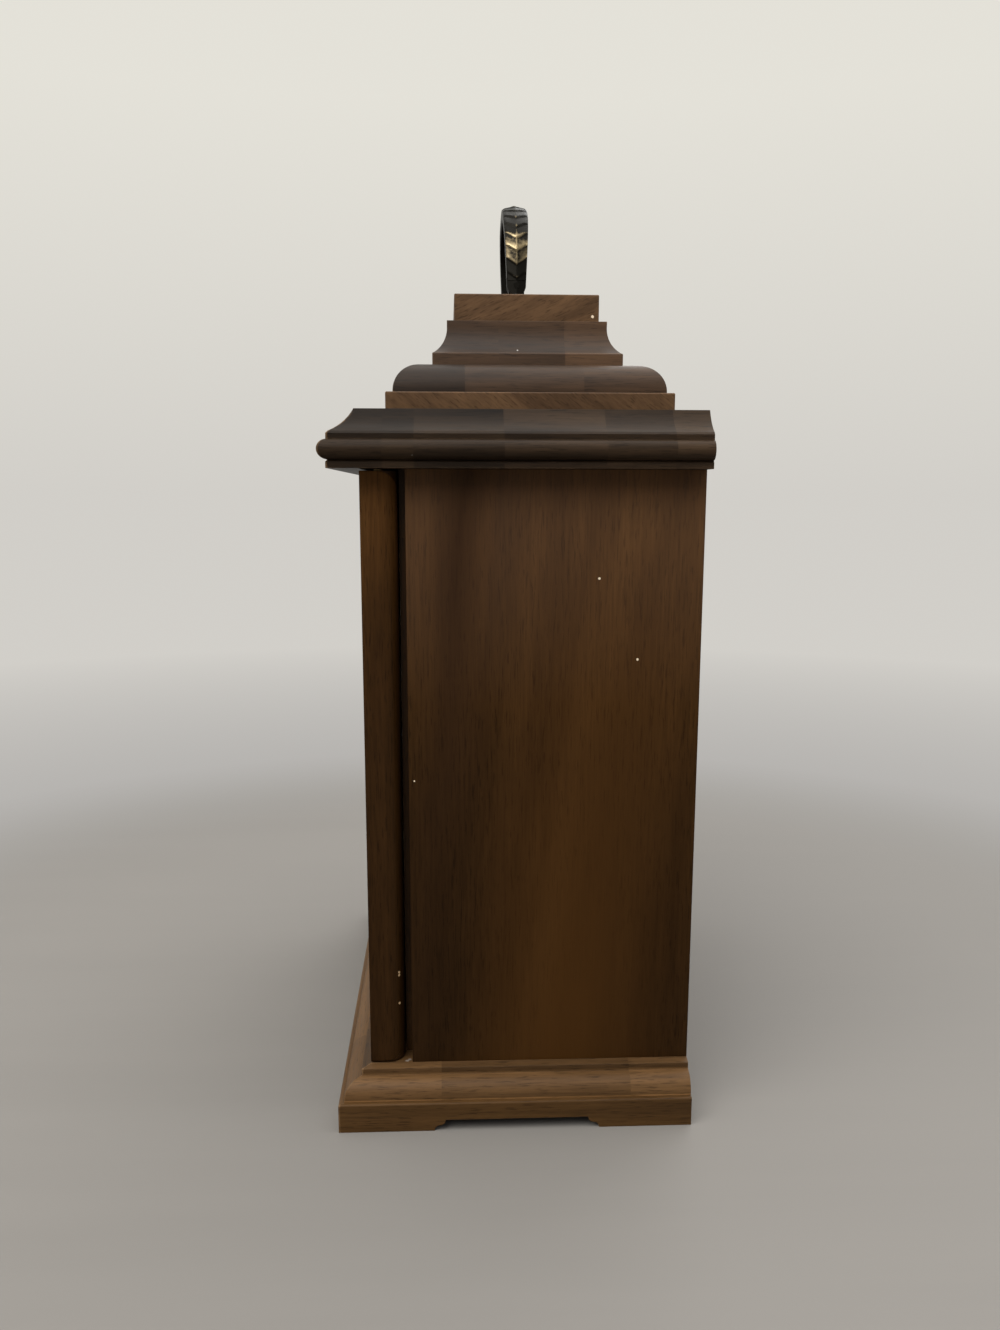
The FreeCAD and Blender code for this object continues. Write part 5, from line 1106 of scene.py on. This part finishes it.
# Stage: the floor is grey near the clock, and fades to the backdrop's colour from FADE_START to
# FADE_END metres away. The other fade numbers are shares of that span.
FLOOR_HALF = 12.0
FLOOR_NEAR = (0.196, 0.184, 0.168)
FLOOR_MOTTLE = 0.06
FLOOR_GRAIN = (22.0, 2.4, 1.0)
FLOOR_LIT = (0.300, 0.282, 0.256)
FLOOR_HALFWAY = (0.470, 0.455, 0.435)
HORIZON = (0.640, 0.620, 0.582)
OVERHEAD = (0.775, 0.755, 0.690)
OVERHEAD_FROM = 0.30
FADE_START = 0.30
FADE_END = 1.60
HALFWAY_AT = 0.28
GLOW_FULL_AT = 0.25

# The room's light: weaker from the sides than from above. Heights are those of a direction.
AMBIENT_COLOUR = (0.98, 0.99, 1.0, 1.0)
AMBIENT_HEIGHTS = (0.05, 0.90)
AMBIENT_LEVELS = (0.16, 1.0)

# Lamps: place, size, power and colour, all aimed at the middle of the clock.
LAMP_AIM = Vector((0.0, 0.0, 0.22))
WARM_WHITE = (1.0, 0.99, 0.97)
LAMPS = {
    "key": ((0.80, -0.60, 1.25), (1.1, 1.1), 19.0, (1.0, 0.985, 0.96)),
    "top": ((-0.10, 0.25, 1.55), (1.6, 1.2), 13.0, WARM_WHITE),
    "far": ((-1.10, 0.70, 0.95), (1.0, 1.0), 9.0, (0.97, 0.98, 1.0)),
    "front": ((0.10, -1.30, 0.90), (1.2, 0.9), 3.5, WARM_WHITE),
    "back": ((-0.10, 1.40, 0.90), (1.2, 0.9), 5.0, WARM_WHITE),
}


def make_stage():
    shape = bmesh.new()
    bmesh.ops.create_grid(shape, x_segments=1, y_segments=1, size=FLOOR_HALF)
    floor = Shader("pale_floor")
    mottle = floor.noise(floor.stretched(FLOOR_GRAIN), detail=5.0, roughness=0.6)
    near = [tuple(channel * level for channel in FLOOR_NEAR)
            for level in (1.0 - FLOOR_MOTTLE, 1.0 + FLOOR_MOTTLE)]
    floor.set(Base_Color=floor.mixed(mottle, *near), Specular_IOR_Level=0.1)
    floor.rough(mottle, smoothest=0.70, roughest=0.80)
    fade = floor.span(floor.vector_maths("LENGTH", floor.place), FADE_START, FADE_END)
    colour = floor.ramp(fade, ((0.0, FLOOR_LIT), (HALFWAY_AT, FLOOR_HALFWAY), (1.0, HORIZON)))
    glow = floor.node("ShaderNodeEmission", {"Color": colour, "Strength": 1.0})
    share = floor.ramp(fade, ((0.0, 0.0), (GLOW_FULL_AT, 1.0)), "EASE")
    floor.finish("Material Output", floor.maths("MULTIPLY", share, floor.background_rays()),
                 floor.surface.outputs[0], glow.outputs[0])
    piece_from(shape, "floor", floor.material)


def make_world():
    world = bpy.data.worlds.new("room")
    bpy.context.scene.world = world
    world.use_nodes = True
    room = Tree(world.node_tree)
    towards = room.node("ShaderNodeTexCoord").outputs["Generated"]
    height = room.node("ShaderNodeSeparateXYZ", {"Vector": towards}).outputs[2]
    ambient = world.node_tree.nodes["Background"]
    room.feed(ambient.inputs["Color"], AMBIENT_COLOUR)
    room.feed(ambient.inputs["Strength"], room.span(height, *AMBIENT_HEIGHTS, *AMBIENT_LEVELS,
                                                    interpolation_type="SMOOTHSTEP"))
    rise = room.ramp(height, ((0.0, HORIZON), (OVERHEAD_FROM, OVERHEAD)))
    seen = room.node("ShaderNodeBackground", {"Color": rise, "Strength": 1.0})
    room.finish("World Output", room.background_rays(), ambient.outputs[0], seen.outputs[0])


def make_lamps():
    for name, (place, size, power, colour) in LAMPS.items():
        data = bpy.data.lights.new(name, "AREA")
        data.shape = "RECTANGLE"
        data.size, data.size_y = size
        data.energy = power
        data.color = colour
        light = bpy.data.objects.new(name, data)
        light.location = place
        light.rotation_euler = (LAMP_AIM - Vector(place)).to_track_quat("-Z", "Y").to_euler()
        bpy.context.scene.collection.objects.link(light)


make_camera()
dress_body()
dress_top()
dress_base()
aged_brass = aged_handle_brass()
dress_metal(aged_brass)
handle_leaves(aged_brass)
dial_marks()
corner_ornament()
make_stage()
make_world()
make_lamps()
bpy.context.scene.view_settings.view_transform = "Standard"
